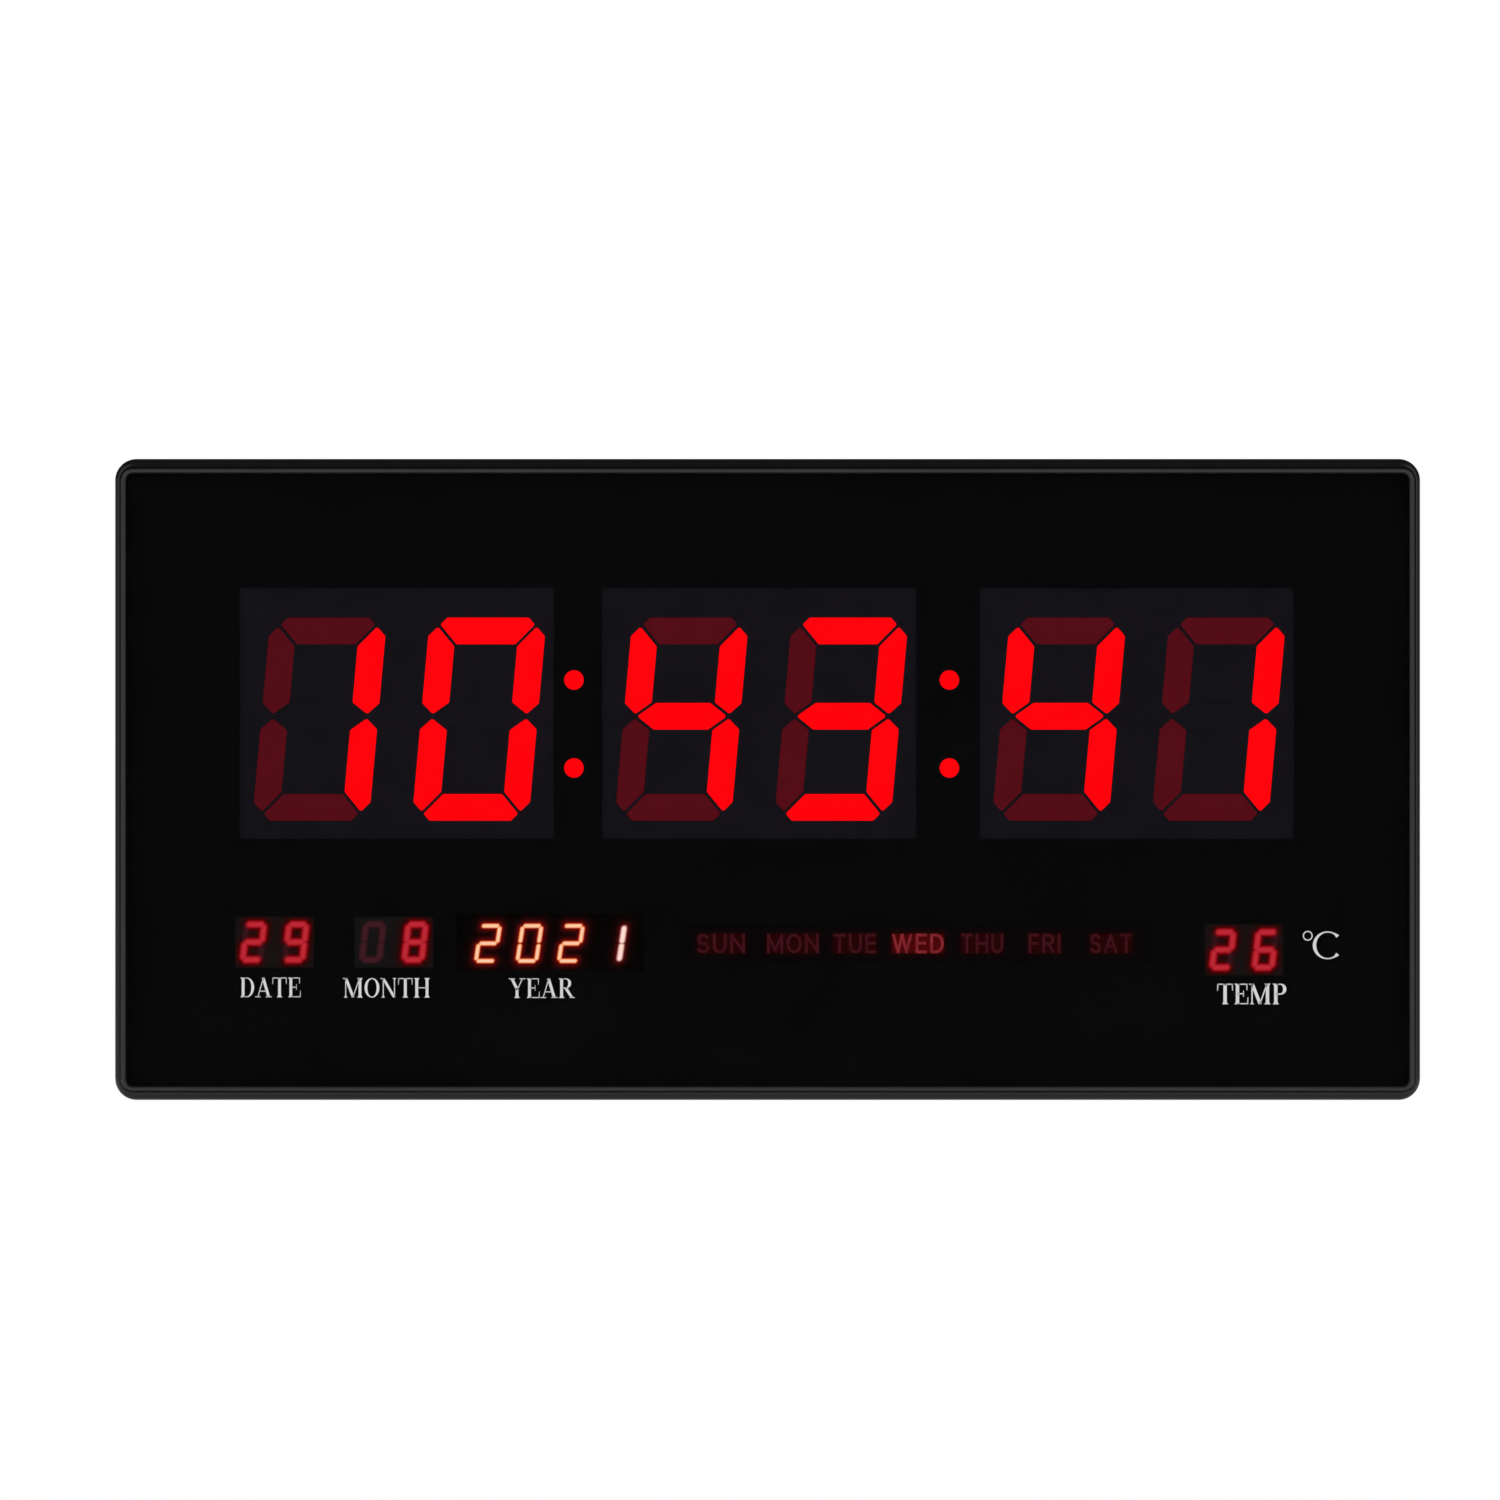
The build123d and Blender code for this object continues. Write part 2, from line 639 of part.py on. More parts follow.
def make_colon_lamps():
    """Four round flanged lamps with two leads each through the board."""
    lamps = []
    for x in (LEFT_COLON_X, RIGHT_COLON_X):
        for step in spread(2, COLON_SPACING):
            y = COLON_Y + step
            flange_top = BOARD_FRONT + COLON_FLANGE_HEIGHT
            lamp = column(COLON_RADIUS, BOARD_FRONT, DISPLAY_FRONT, x, y)
            lamp += column(COLON_RADIUS + COLON_FLANGE, BOARD_FRONT, flange_top, x, y)
            for lead_x in spread(2, COLON_LEAD_SPACING):
                lamp += column(COLON_LEAD_RADIUS, BOARD_BACK - PIN_TAIL, flange_top, x + lead_x, y)
            lamps.append(lamp)
    return lamps


# Small displays


def pin_places(height):
    """Two rows of pins along the long edges of a small housing."""
    row_y = height / 2 - PIN_EDGE
    return [(x, y) for x in spread(PIN_COUNT, PIN_PITCH) for y in (-row_y, row_y)]


def make_housing(width, height, outlines, places):
    """A potted display housing with shallow segment seats and pins."""
    body = block(width, height, BOARD_FRONT, DISPLAY_FRONT)
    floor = DISPLAY_FRONT - SMALL_LENS
    cuts = []
    for x, y in places:
        for outline in outlines.values():
            seat = offset(outline, amount=SMALL_CLEARANCE)
            cuts.append(raise_outline(seat, x, y, floor, DISPLAY_FRONT + CUT_OVERRUN))
    pin_end = BOARD_BACK - PIN_TAIL
    pins = [column(PIN_RADIUS, pin_end, BOARD_FRONT + JOIN_OVERLAP, x, y) for x, y in pin_places(height)]
    return body - cuts + pins


def make_weekday_box():
    """A row of seven light cells, open to the front under the film and to the board behind."""
    seat = DISPLAY_FRONT - FILM_THICKNESS
    box = block(WEEKDAY_WIDTH, WEEKDAY_HEIGHT, BOARD_FRONT, DISPLAY_FRONT)
    film_width = WEEKDAY_WIDTH - 2 * FILM_LIP
    film_height = WEEKDAY_HEIGHT - 2 * FILM_LIP
    cuts = [block(film_width, film_height, seat, DISPLAY_FRONT + CUT_OVERRUN)]
    cell_width = WEEKDAY_PITCH - WEEKDAY_WALL
    cell_height = WEEKDAY_HEIGHT - 2 * WEEKDAY_WALL
    for x in spread(WEEKDAY_COUNT, WEEKDAY_PITCH):
        cuts.append(block(cell_width, cell_height, BOARD_FRONT - CUT_OVERRUN, DISPLAY_FRONT, x))
    peg_end = BOARD_BACK - PEG_TAIL
    pegs = [column(WEEKDAY_PEG_RADIUS, peg_end, BOARD_FRONT + JOIN_OVERLAP, x) for x in weekday_pegs()]
    return Pos(WEEKDAY_X, WEEKDAY_Y, 0) * (box - cuts + pegs)


def weekday_pegs():
    """Places of the two pegs in the thick end walls of the light box."""
    reach = (WEEKDAY_WIDTH - WEEKDAY_END) / 2
    return (-reach, reach)


def make_weekday_film():
    """The strip that carries the weekday legends, in a shallow seat of the light box."""
    shrink = 2 * (FILM_LIP + FILM_CLEARANCE)
    seat = DISPLAY_FRONT - FILM_THICKNESS
    return block(WEEKDAY_WIDTH - shrink, WEEKDAY_HEIGHT - shrink, seat, DISPLAY_FRONT, WEEKDAY_X, WEEKDAY_Y)


# Screws


def make_screw(length):
    """A pan head screw pointing along +Z, with its seat at zero."""
    head = column(HEAD_RADIUS, -HEAD_HEIGHT, 0)
    head = fillet(bottom_face(head).edges(), HEAD_ROUND)
    shank = column(SHANK_RADIUS, -JOIN_OVERLAP, length - TIP_LENGTH)
    tip = Pos(0, 0, length - TIP_LENGTH) * Cone(SHANK_RADIUS, TIP_RADIUS, TIP_LENGTH, align=BASE)
    slot_bottom = -HEAD_HEIGHT - CUT_OVERRUN
    slot_top = CROSS_DEPTH - HEAD_HEIGHT
    cross = [
        block(CROSS_LENGTH, CROSS_WIDTH, slot_bottom, slot_top),
        block(CROSS_WIDTH, CROSS_LENGTH, slot_bottom, slot_top),
    ]
    return head + shank + tip - cross


def place_screws(length, places, seat):
    """Copies of one screw with their heads' undersides at level seat."""
    screw = make_screw(length)
    return [Pos(x, y, seat) * screw for x, y in places]


# Case


def make_bead():
    """The raised inner bead of the rim, rounded on both shoulders."""
    bead = case_ring(BAND_WIDTH + GROOVE_WIDTH, PANEL_INSET, BAND_TOP - GROOVE_DEPTH, CASE_DEPTH, SIDE_TRIM)
    bead = fillet(top_face(bead).outer_wire().edges(), BEAD_OUTER_ROUND)
    return fillet(top_face(bead).inner_wires()[0].edges(), BEAD_INNER_ROUND)


def make_shell():
    """The bezel's walls, rim and panel ledge, without bosses."""
    shell = case_plate(0, BEZEL_SETBACK, BAND_TOP)
    shell = fillet(top_face(shell).edges(), BAND_ROUND)
    shell -= case_ring(BAND_WIDTH, BAND_WIDTH + GROOVE_WIDTH, BAND_TOP - GROOVE_DEPTH, CASE_DEPTH, SIDE_TRIM)
    shell -= case_plate(PANEL_INSET, LEDGE_TOP, CASE_DEPTH, SIDE_TRIM)
    shell -= case_plate(CASE_WALL, BEZEL_SETBACK - CUT_OVERRUN, LEDGE_BOTTOM)
    shell -= case_plate(LEDGE_INSET, BEZEL_SETBACK - CUT_OVERRUN, CASE_DEPTH)
    return shell + make_bead()


def board_tab(x, y):
    """A tongue from the ledge inwards with a post down to the board."""
    ledge_y = math.copysign(CASE_HEIGHT / 2 - LEDGE_INSET + JOIN_OVERLAP, y)
    end_y = y - math.copysign(TAB_WIDTH / 2, y)
    tab = block(TAB_WIDTH, abs(ledge_y - end_y), LEDGE_BOTTOM, LEDGE_TOP, x, (ledge_y + end_y) / 2)
    return tab + column(POST_RADIUS, BOARD_FRONT, LEDGE_BOTTOM + JOIN_OVERLAP, x, y)


def jack_cylinder(radius, start, end):
    """A cylinder on the jack's axis between two heights of the dial."""
    turned = Rot(-90, 0, 0) * Cylinder(radius, end - start, align=BASE)
    return Pos(JACK_X, start, BOARD_BACK - JACK_AXIS_DROP) * turned


def make_front_bezel():
    """The front frame with its screw bosses, board posts and jack hole."""
    bezel = make_shell()
    boss_end = LEDGE_BOTTOM + JOIN_OVERLAP
    bezel += [column(BOSS_RADIUS, TOWER_TOP, boss_end, x, y) for x, y in cover_screw_places()]
    bezel += [board_tab(x, y) for x, y in board_post_places()]
    pilot = SHANK_RADIUS + SHANK_CLEARANCE
    cover_pilot_end = SCREW_SEAT + COVER_SCREW_LENGTH + PILOT_SPARE
    board_pilot_end = BOARD_BACK + BOARD_SCREW_LENGTH + PILOT_SPARE
    cuts = [column(pilot, TOWER_TOP - CUT_OVERRUN, cover_pilot_end, x, y) for x, y in cover_screw_places()]
    post_start = BOARD_FRONT - CUT_OVERRUN
    cuts += [column(pilot, post_start, board_pilot_end, x, y) for x, y in board_post_places()]
    wall_y = -CASE_HEIGHT / 2
    hole_radius = JACK_NOSE_RADIUS + JACK_CLEARANCE
    cuts.append(jack_cylinder(hole_radius, wall_y - CUT_OVERRUN, wall_y + CASE_WALL + CUT_OVERRUN))
    return bezel - cuts


def make_front_panel():
    """The tinted panel, dropped into the rim from the front."""
    panel = case_plate(PANEL_INSET + PANEL_GAP, PANEL_BACK, PANEL_FRONT, SIDE_TRIM)
    return chamfer(top_face(panel).edges(), PANEL_EDGE)


def window(width, height, x, y):
    """A cutter for one window of the mask."""
    level = MASK_BACK - CUT_OVERRUN
    return block(width - 2 * WINDOW_LIP, height - 2 * WINDOW_LIP, level, PANEL_BACK + CUT_OVERRUN, x, y)


def make_printed_mask():
    """The black print behind the panel, open over every display."""
    mask = case_plate(PANEL_INSET + PANEL_GAP, MASK_BACK, PANEL_BACK, SIDE_TRIM)
    columns = (HOURS_X, MINUTES_X, SECONDS_X)
    cuts = [window(REFLECTOR_WIDTH, REFLECTOR_HEIGHT, x, LARGE_ROW_Y) for x in columns]
    cuts += [window(PAIR_WIDTH, PAIR_HEIGHT, x, ROW_Y) for x in (DATE_X, MONTH_X)]
    cuts.append(window(PAIR_WIDTH, PAIR_HEIGHT, TEMPERATURE_X, TEMPERATURE_Y))
    cuts.append(window(YEAR_WIDTH, YEAR_HEIGHT, YEAR_X, ROW_Y))
    film_width = WEEKDAY_WIDTH - 2 * FILM_LIP
    film_height = WEEKDAY_HEIGHT - 2 * FILM_LIP
    cuts.append(window(film_width, film_height, WEEKDAY_X, WEEKDAY_Y))
    for x in (LEFT_COLON_X, RIGHT_COLON_X):
        for step in spread(2, COLON_SPACING):
            dot = column(COLON_RADIUS, MASK_BACK - CUT_OVERRUN, PANEL_BACK + CUT_OVERRUN, x, COLON_Y + step)
            cuts.append(dot)
    return mask - cuts


def make_panel_tape():
    """The frame of tape between the mask and the ledge."""
    sheet = case_plate(PANEL_INSET + TAPE_MARGIN, LEDGE_TOP, MASK_BACK, SIDE_TRIM)
    return sheet - case_plate(LEDGE_INSET - TAPE_MARGIN, LEDGE_TOP - CUT_OVERRUN, MASK_BACK + CUT_OVERRUN)


# Board


def small_housing_places():
    """Height and place of each pinned housing."""
    return [
        (PAIR_HEIGHT, DATE_X, ROW_Y),
        (PAIR_HEIGHT, MONTH_X, ROW_Y),
        (YEAR_HEIGHT, YEAR_X, ROW_Y),
        (PAIR_HEIGHT, TEMPERATURE_X, TEMPERATURE_Y),
    ]


def board_holes():
    """Radius and place of every hole in the board."""
    holes = []
    screw_radius = SHANK_RADIUS + BOARD_HOLE_CLEARANCE
    holes += [(screw_radius, x, y) for x, y in board_post_places()]
    for block_x in (HOURS_X, MINUTES_X, SECONDS_X):
        for x, y in reflector_pegs():
            holes.append((PEG_RADIUS + PEG_CLEARANCE, block_x + x, LARGE_ROW_Y + y))
    for x in weekday_pegs():
        holes.append((WEEKDAY_PEG_RADIUS + PEG_CLEARANCE, WEEKDAY_X + x, WEEKDAY_Y))
    for height, housing_x, housing_y in small_housing_places():
        for x, y in pin_places(height):
            holes.append((PIN_RADIUS + PIN_CLEARANCE, housing_x + x, housing_y + y))
    for colon_x in (LEFT_COLON_X, RIGHT_COLON_X):
        for lead_x in spread(2, COLON_LEAD_SPACING):
            for step in spread(2, COLON_SPACING):
                holes.append((COLON_LEAD_RADIUS + PIN_CLEARANCE, colon_x + lead_x, COLON_Y + step))
    return holes


def make_main_board():
    """One board that carries every display in front and the electronics behind."""
    width, height = board_size()
    board = rounded_block(width, height, BOARD_CORNER, BOARD_BACK, BOARD_FRONT)
    bottom = BOARD_BACK - CUT_OVERRUN
    top = BOARD_FRONT + CUT_OVERRUN
    return board - [column(radius, bottom, top, x, y) for radius, x, y in board_holes()]


def make_chip(legs, x, y):
    """A flat chip with a row of legs along each long side, on the rear of the board."""
    length = legs * CHIP_LEG_PITCH + CHIP_END
    body_top = BOARD_BACK - CHIP_STANDOFF
    chip = block(length, CHIP_BODY_WIDTH, BOARD_BACK - CHIP_HEIGHT, body_top)
    span = CHIP_BODY_WIDTH + 2 * CHIP_LEG_REACH
    foot = BOARD_BACK - CHIP_LEG_THICKNESS
    for leg_x in spread(legs, CHIP_LEG_PITCH):
        chip += block(CHIP_LEG_WIDTH, span, foot, BOARD_BACK, leg_x)
    return Pos(x, y, 0) * chip


def make_resistors():
    """A row of seven resistors below each driver chip, one for each segment."""
    row_y = LARGE_ROW_Y + DRIVER_RISE - RESISTOR_DROP
    back = BOARD_BACK - RESISTOR_HEIGHT
    pieces = []
    for block_x in (HOURS_X, MINUTES_X, SECONDS_X):
        for x in spread(RESISTOR_COUNT, RESISTOR_PITCH):
            pieces.append(block(RESISTOR_WIDTH, RESISTOR_LENGTH, back, BOARD_BACK, block_x + x, row_y))
    return pieces


def make_crystal():
    """A low can with a flange, on the rear of the board."""
    corner = CRYSTAL_WIDTH / 2 - CRYSTAL_FLANGE
    flange_length = CRYSTAL_LENGTH + 2 * CRYSTAL_FLANGE
    flange_width = CRYSTAL_WIDTH + 2 * CRYSTAL_FLANGE
    back = BOARD_BACK - CRYSTAL_HEIGHT
    can = rounded_block(CRYSTAL_LENGTH, CRYSTAL_WIDTH, corner, back, BOARD_BACK, CRYSTAL_X, CLOCK_CHIP_Y)
    foot = BOARD_BACK - CRYSTAL_FLANGE
    flange = rounded_block(flange_length, flange_width, corner, foot, BOARD_BACK, CRYSTAL_X, CLOCK_CHIP_Y)
    return can + flange


def make_buzzer():
    """A round buzzer with its sound port facing the rear cover."""
    back = BOARD_BACK - BUZZER_HEIGHT
    body = column(BUZZER_RADIUS, back, BOARD_BACK, BUZZER_X, BUZZER_Y)
    port = column(BUZZER_PORT_RADIUS, back - CUT_OVERRUN, back + BUZZER_PORT_DEPTH, BUZZER_X, BUZZER_Y)
    return body - port


def make_capacitors():
    """Two upright cans near the power jack."""
    cans = []
    for step in spread(CAPACITOR_COUNT, CAPACITOR_PITCH):
        x = CAPACITOR_X + step
        can = column(CAPACITOR_RADIUS, BOARD_BACK - CAPACITOR_HEIGHT, BOARD_BACK, x, CAPACITOR_Y)
        cans.append(fillet(bottom_face(can).edges(), CAPACITOR_ROUND))
    return cans


def make_sensor():
    """A bead on two leads that stands off the board towards the vent slots."""
    level = BOARD_BACK - SENSOR_HEIGHT
    sensor = Pos(SENSOR_X, SENSOR_Y, level) * Sphere(SENSOR_BEAD_RADIUS)
    for step in spread(2, SENSOR_LEAD_SPACING):
        sensor += column(SENSOR_LEAD_RADIUS, level, BOARD_BACK, SENSOR_X + step, SENSOR_Y)
    return sensor


# Buttons


def make_button(x, y):
    """A cap with a flange behind the bay floor and a stem down to the switch plunger."""
    flange_start = BAY_INNER + BUTTON_REST_GAP
    flange_end = flange_start + FLANGE_THICKNESS
    cap = column(BUTTON_RADIUS, BUTTON_SETBACK, flange_end, x, y)
    cap = fillet(bottom_face(cap).edges(), BUTTON_ROUND)
    cap += column(BUTTON_RADIUS + FLANGE_OVERHANG, flange_start, flange_end, x, y)
    return cap + column(STEM_RADIUS, flange_end - JOIN_OVERLAP, PLUNGER_TIP, x, y)


def make_plunger(x, y):
    """The moving pin of a switch, held in the switch body."""
    return column(PLUNGER_RADIUS, PLUNGER_TIP, BOARD_BACK - SWITCH_HEIGHT + PLUNGER_SEAT, x, y)


def make_switch_body(x, y):
    """A square switch body with a guide hole that leaves room for the travel."""
    back = BOARD_BACK - SWITCH_HEIGHT
    body = block(SWITCH_SIDE, SWITCH_SIDE, back, BOARD_BACK, x, y)
    hole_end = back + PLUNGER_SEAT + BUTTON_TRAVEL + PLUNGER_SPARE
    return body - column(PLUNGER_RADIUS + PLUNGER_CLEARANCE, back - CUT_OVERRUN, hole_end, x, y)


# Coin cell and door


def make_cell_holder():
    """A tray on the board with a round pocket for the cell."""
    floor = BOARD_BACK - HOLDER_FLOOR
    tray = block(HOLDER_WIDTH, HOLDER_HEIGHT, HOLDER_BACK, BOARD_BACK, CELL_X, CELL_Y)
    return tray - column(CELL_RADIUS + CELL_CLEARANCE, HOLDER_BACK - CUT_OVERRUN, floor, CELL_X, CELL_Y)


def make_cell_contacts():
    """A flat contact under the cell and a strap across the tray."""
    floor = BOARD_BACK - HOLDER_FLOOR
    plate = block(CONTACT_LENGTH, CONTACT_WIDTH, floor - CONTACT_THICKNESS, floor, CELL_X, CELL_Y)
    strap = block(HOLDER_WIDTH, CONTACT_WIDTH, STRAP_BACK, HOLDER_BACK, CELL_X, CELL_Y)
    return [plate, strap]


def make_coin_cell():
    """A coin cell whose smaller terminal faces the board."""
    front = CELL_BACK + CELL_THICKNESS
    cell = column(CELL_RADIUS, CELL_BACK, front - CELL_STEP, CELL_X, CELL_Y)
    cell = fillet(bottom_face(cell).edges(), CELL_EDGE)
    return cell + column(CELL_RADIUS - CELL_STEP, front - CELL_STEP - JOIN_OVERLAP, front, CELL_X, CELL_Y)


def hinge_cylinder(radius, length):
    """A cylinder on the door's hinge line, centred on the door."""
    return Pos(CELL_X, HINGE_Y, HINGE_Z) * (Rot(0, 90, 0) * Cylinder(radius, length))


def make_battery_door():
    """A flush door hung from a knuckle along its top edge."""
    leaf_height = DOOR_HEIGHT - KNUCKLE_RADIUS
    leaf_y = CELL_Y - KNUCKLE_RADIUS / 2
    leaf_top = DOOR_SETBACK + DOOR_THICKNESS
    door = block(DOOR_WIDTH, leaf_height, DOOR_SETBACK, leaf_top, CELL_X, leaf_y)
    low_corners = door.edges().filter_by(Axis.Z).group_by(Axis.Y)[0]
    door = fillet(low_corners, DOOR_CORNER)
    door += hinge_cylinder(KNUCKLE_RADIUS, DOOR_WIDTH)
    return door + hinge_cylinder(HINGE_PIN_RADIUS, DOOR_WIDTH + 2 * HINGE_PIN_LENGTH)


def door_shell():
    """The thick seat round the door and the walls of the well over the cell."""
    wide = DOOR_WIDTH + 2 * (DOOR_GAP + HINGE_PIN_LENGTH + WELL_WALL)
    high = DOOR_HEIGHT + 2 * (DOOR_GAP + WELL_WALL)
    seat_back = DOOR_SEAT + WELL_WALL
    shell = block(wide, high, 0, seat_back, CELL_X, CELL_Y)
    well_width = DOOR_WIDTH - 2 * WELL_LEDGE + 2 * WELL_WALL
    well_height = DOOR_HEIGHT - 2 * WELL_LEDGE + 2 * WELL_WALL
    return shell + block(well_width, well_height, 0, STRAP_BACK - WELL_GAP, CELL_X, CELL_Y)


def door_cuts():
    """The door's recess, its hinge channel, the finger notch and the well."""
    wide = DOOR_WIDTH + 2 * DOOR_GAP
    high = DOOR_HEIGHT + 2 * DOOR_GAP
    cuts = [block(wide, high, -CUT_OVERRUN, DOOR_SEAT, CELL_X, CELL_Y)]
    channel_end = HINGE_Z + KNUCKLE_RADIUS + DOOR_GAP
    channel_height = 2 * (KNUCKLE_RADIUS + DOOR_GAP)
    cuts.append(block(wide, channel_height, -CUT_OVERRUN, channel_end, CELL_X, HINGE_Y))
    pin_span = DOOR_WIDTH + 2 * (HINGE_PIN_LENGTH + DOOR_GAP)
    cuts.append(hinge_cylinder(HINGE_PIN_RADIUS + HINGE_CLEARANCE, pin_span))
    cuts.append(column(NOTCH_RADIUS, -CUT_OVERRUN, NOTCH_DEPTH, CELL_X, CELL_Y - DOOR_HEIGHT / 2))
    well_width = DOOR_WIDTH - 2 * WELL_LEDGE
    well_height = DOOR_HEIGHT - 2 * WELL_LEDGE
    cuts.append(block(well_width, well_height, -CUT_OVERRUN, BOARD_BACK, CELL_X, CELL_Y))
    return cuts


# Power jack


def make_dc_jack():
    """A jack body on the board with a round nose in the bezel's lower wall."""
    mouth = JACK_SETBACK - CASE_HEIGHT / 2
    shoulder = mouth + JACK_NOSE_LENGTH
    middle = shoulder + JACK_LENGTH / 2
    body = block(JACK_WIDTH, JACK_LENGTH, BOARD_BACK - JACK_HEIGHT, BOARD_BACK, JACK_X, middle)
    body += jack_cylinder(JACK_NOSE_RADIUS, mouth, shoulder + JOIN_OVERLAP)
    return body - jack_cylinder(JACK_BORE_RADIUS, mouth - CUT_OVERRUN, mouth + JACK_BORE_DEPTH)


def make_dc_jack_pin():
    """The centre pin, standing on the floor of the jack's bore."""
    mouth = JACK_SETBACK - CASE_HEIGHT / 2
    pin = jack_cylinder(JACK_PIN_RADIUS, mouth + JACK_PIN_SETBACK, mouth + JACK_BORE_DEPTH)
    return fillet(pin.faces().sort_by(Axis.Y)[0].edges(), JACK_PIN_ROUND)


# Rear cover


def keyhole_places():
    """The two keyhole entries."""
    return [(-KEYHOLE_SPAN / 2, KEYHOLE_Y), (KEYHOLE_SPAN / 2, KEYHOLE_Y)]


def cup_size():
    """Inner width, height and raised middle of a keyhole cup."""
    width = 2 * (ENTRY_RADIUS + CUP_SIDE)
    return width, width + SLOT_LENGTH, SLOT_LENGTH / 2


def keyhole_cup(x, y):
    """The closed cup that a wall screw's head travels in."""
    width, height, lift = cup_size()
    cup_end = COVER_THICKNESS + CUP_DEPTH
    grown = 2 * CUP_WALL
    return rounded_block(width + grown, height + grown, CUP_CORNER, 0, cup_end + CUP_WALL, x, y + lift)


def keyhole_cuts(x, y):
    """The space in the cup, the round entry and the slot above it."""
    width, height, lift = cup_size()
    cup_end = COVER_THICKNESS + CUP_DEPTH
    slot_end = y + SLOT_LENGTH
    return [
        block(width, height, COVER_THICKNESS, cup_end, x, y + lift),
        column(ENTRY_RADIUS, -CUT_OVERRUN, COVER_THICKNESS + CUT_OVERRUN, x, y),
        block(SLOT_WIDTH, SLOT_LENGTH, -CUT_OVERRUN, COVER_THICKNESS + CUT_OVERRUN, x, y + lift),
        column(SLOT_WIDTH / 2, -CUT_OVERRUN, COVER_THICKNESS + CUT_OVERRUN, x, slot_end),
    ]


def bay_block(grown, bottom, top):
    """A rounded block over the button bay, grown on every side."""
    length = (len(BUTTON_NAMES) - 1) * BUTTON_PITCH + 2 * (BUTTON_RADIUS + BAY_MARGIN + grown)
    width = 2 * (BUTTON_RADIUS + BAY_MARGIN + grown)
    return rounded_block(length, width, BAY_CORNER + grown, bottom, top, BUTTON_ROW_X, BUTTON_ROW_Y)


def bay_cuts():
    """The recess of the bay and a hole for each cap."""
    cuts = [bay_block(0, -CUT_OVERRUN, BAY_DEPTH)]
    hole = BUTTON_RADIUS + BUTTON_CLEARANCE
    for _, (x, y) in button_places():
        cuts.append(column(hole, -CUT_OVERRUN, BAY_INNER + CUT_OVERRUN, x, y))
    return cuts


def slot_field(count, length, x, y):
    """A stack of level vent slots."""
    outline = SlotOverall(length, VENT_WIDTH)
    cutter = Pos(0, 0, -CUT_OVERRUN) * extrude(outline, amount=COVER_THICKNESS + 2 * CUT_OVERRUN)
    return [Pos(x, y + step, 0) * cutter for step in spread(count, VENT_PITCH)]


def sound_cuts():
    """A ring of small holes round a middle one, over the buzzer."""
    end = COVER_THICKNESS + CUT_OVERRUN
    cuts = [column(SOUND_HOLE_RADIUS, -CUT_OVERRUN, end, BUZZER_X, BUZZER_Y)]
    for index in range(SOUND_HOLE_COUNT):
        turn = 2 * math.pi * index / SOUND_HOLE_COUNT
        x = BUZZER_X + SOUND_RING_RADIUS * math.cos(turn)
        y = BUZZER_Y + SOUND_RING_RADIUS * math.sin(turn)
        cuts.append(column(SOUND_HOLE_RADIUS, -CUT_OVERRUN, end, x, y))
    return cuts


def screw_cuts():
    """A head seat and a shank hole for each cover screw."""
    cuts = []
    for x, y in cover_screw_places():
        cuts.append(column(HEAD_RADIUS + HEAD_CLEARANCE, -CUT_OVERRUN, SCREW_SEAT, x, y))
        cuts.append(column(SHANK_RADIUS + BOARD_HOLE_CLEARANCE, 0, TOWER_TOP + CUT_OVERRUN, x, y))
    return cuts


def make_rear_cover():
    """The rear cover inside the bezel's walls, flush with the wall plane."""
    cover = case_plate(COVER_INSET, 0, COVER_THICKNESS)
    cover = chamfer(bottom_face(cover).edges(), COVER_CHAMFER)
    rib_start = COVER_INSET + COVER_RIB_SETBACK
    rib_level = COVER_THICKNESS - JOIN_OVERLAP
    rib_top = COVER_THICKNESS + JACK_REAR_GAP - COVER_RIB_GAP
    cover += case_ring(rib_start, rib_start + COVER_RIB_THICKNESS, rib_level, rib_top)
    towers = [column(BOSS_RADIUS, rib_level, TOWER_TOP, x, y) for x, y in cover_screw_places()]
    limit = case_plate(COVER_INSET, rib_level, TOWER_TOP)
    cover += [tower & limit for tower in towers]
    cover += [keyhole_cup(x, y) for x, y in keyhole_places()]
    cover += [bay_block(CUP_WALL, 0, BAY_INNER), door_shell()]
    cuts = screw_cuts() + bay_cuts() + door_cuts() + sound_cuts()
    for x, y in keyhole_places():
        cuts += keyhole_cuts(x, y)
    for x in (-VENT_X, VENT_X):
        cuts += slot_field(VENT_COUNT, VENT_LENGTH, x, VENT_Y)
    cuts += slot_field(SENSOR_VENT_COUNT, SENSOR_VENT_LENGTH, SENSOR_X, SENSOR_Y)
    cuts.append(block(LABEL_WIDTH, LABEL_HEIGHT, -CUT_OVERRUN, LABEL_DEPTH, 0, LABEL_Y))
    return cover - cuts


# Saving


def stand_up(shape):
    """Turn a piece from lying on its back to hanging on the wall."""
    return Rot(90, 0, 0) * shape


def save(name, pieces):
    """Write one node; a list of pieces becomes one file of several solids."""
    shape = Compound(pieces) if isinstance(pieces, list) else pieces
    export_step(stand_up(shape), f"parts/{name}.step")


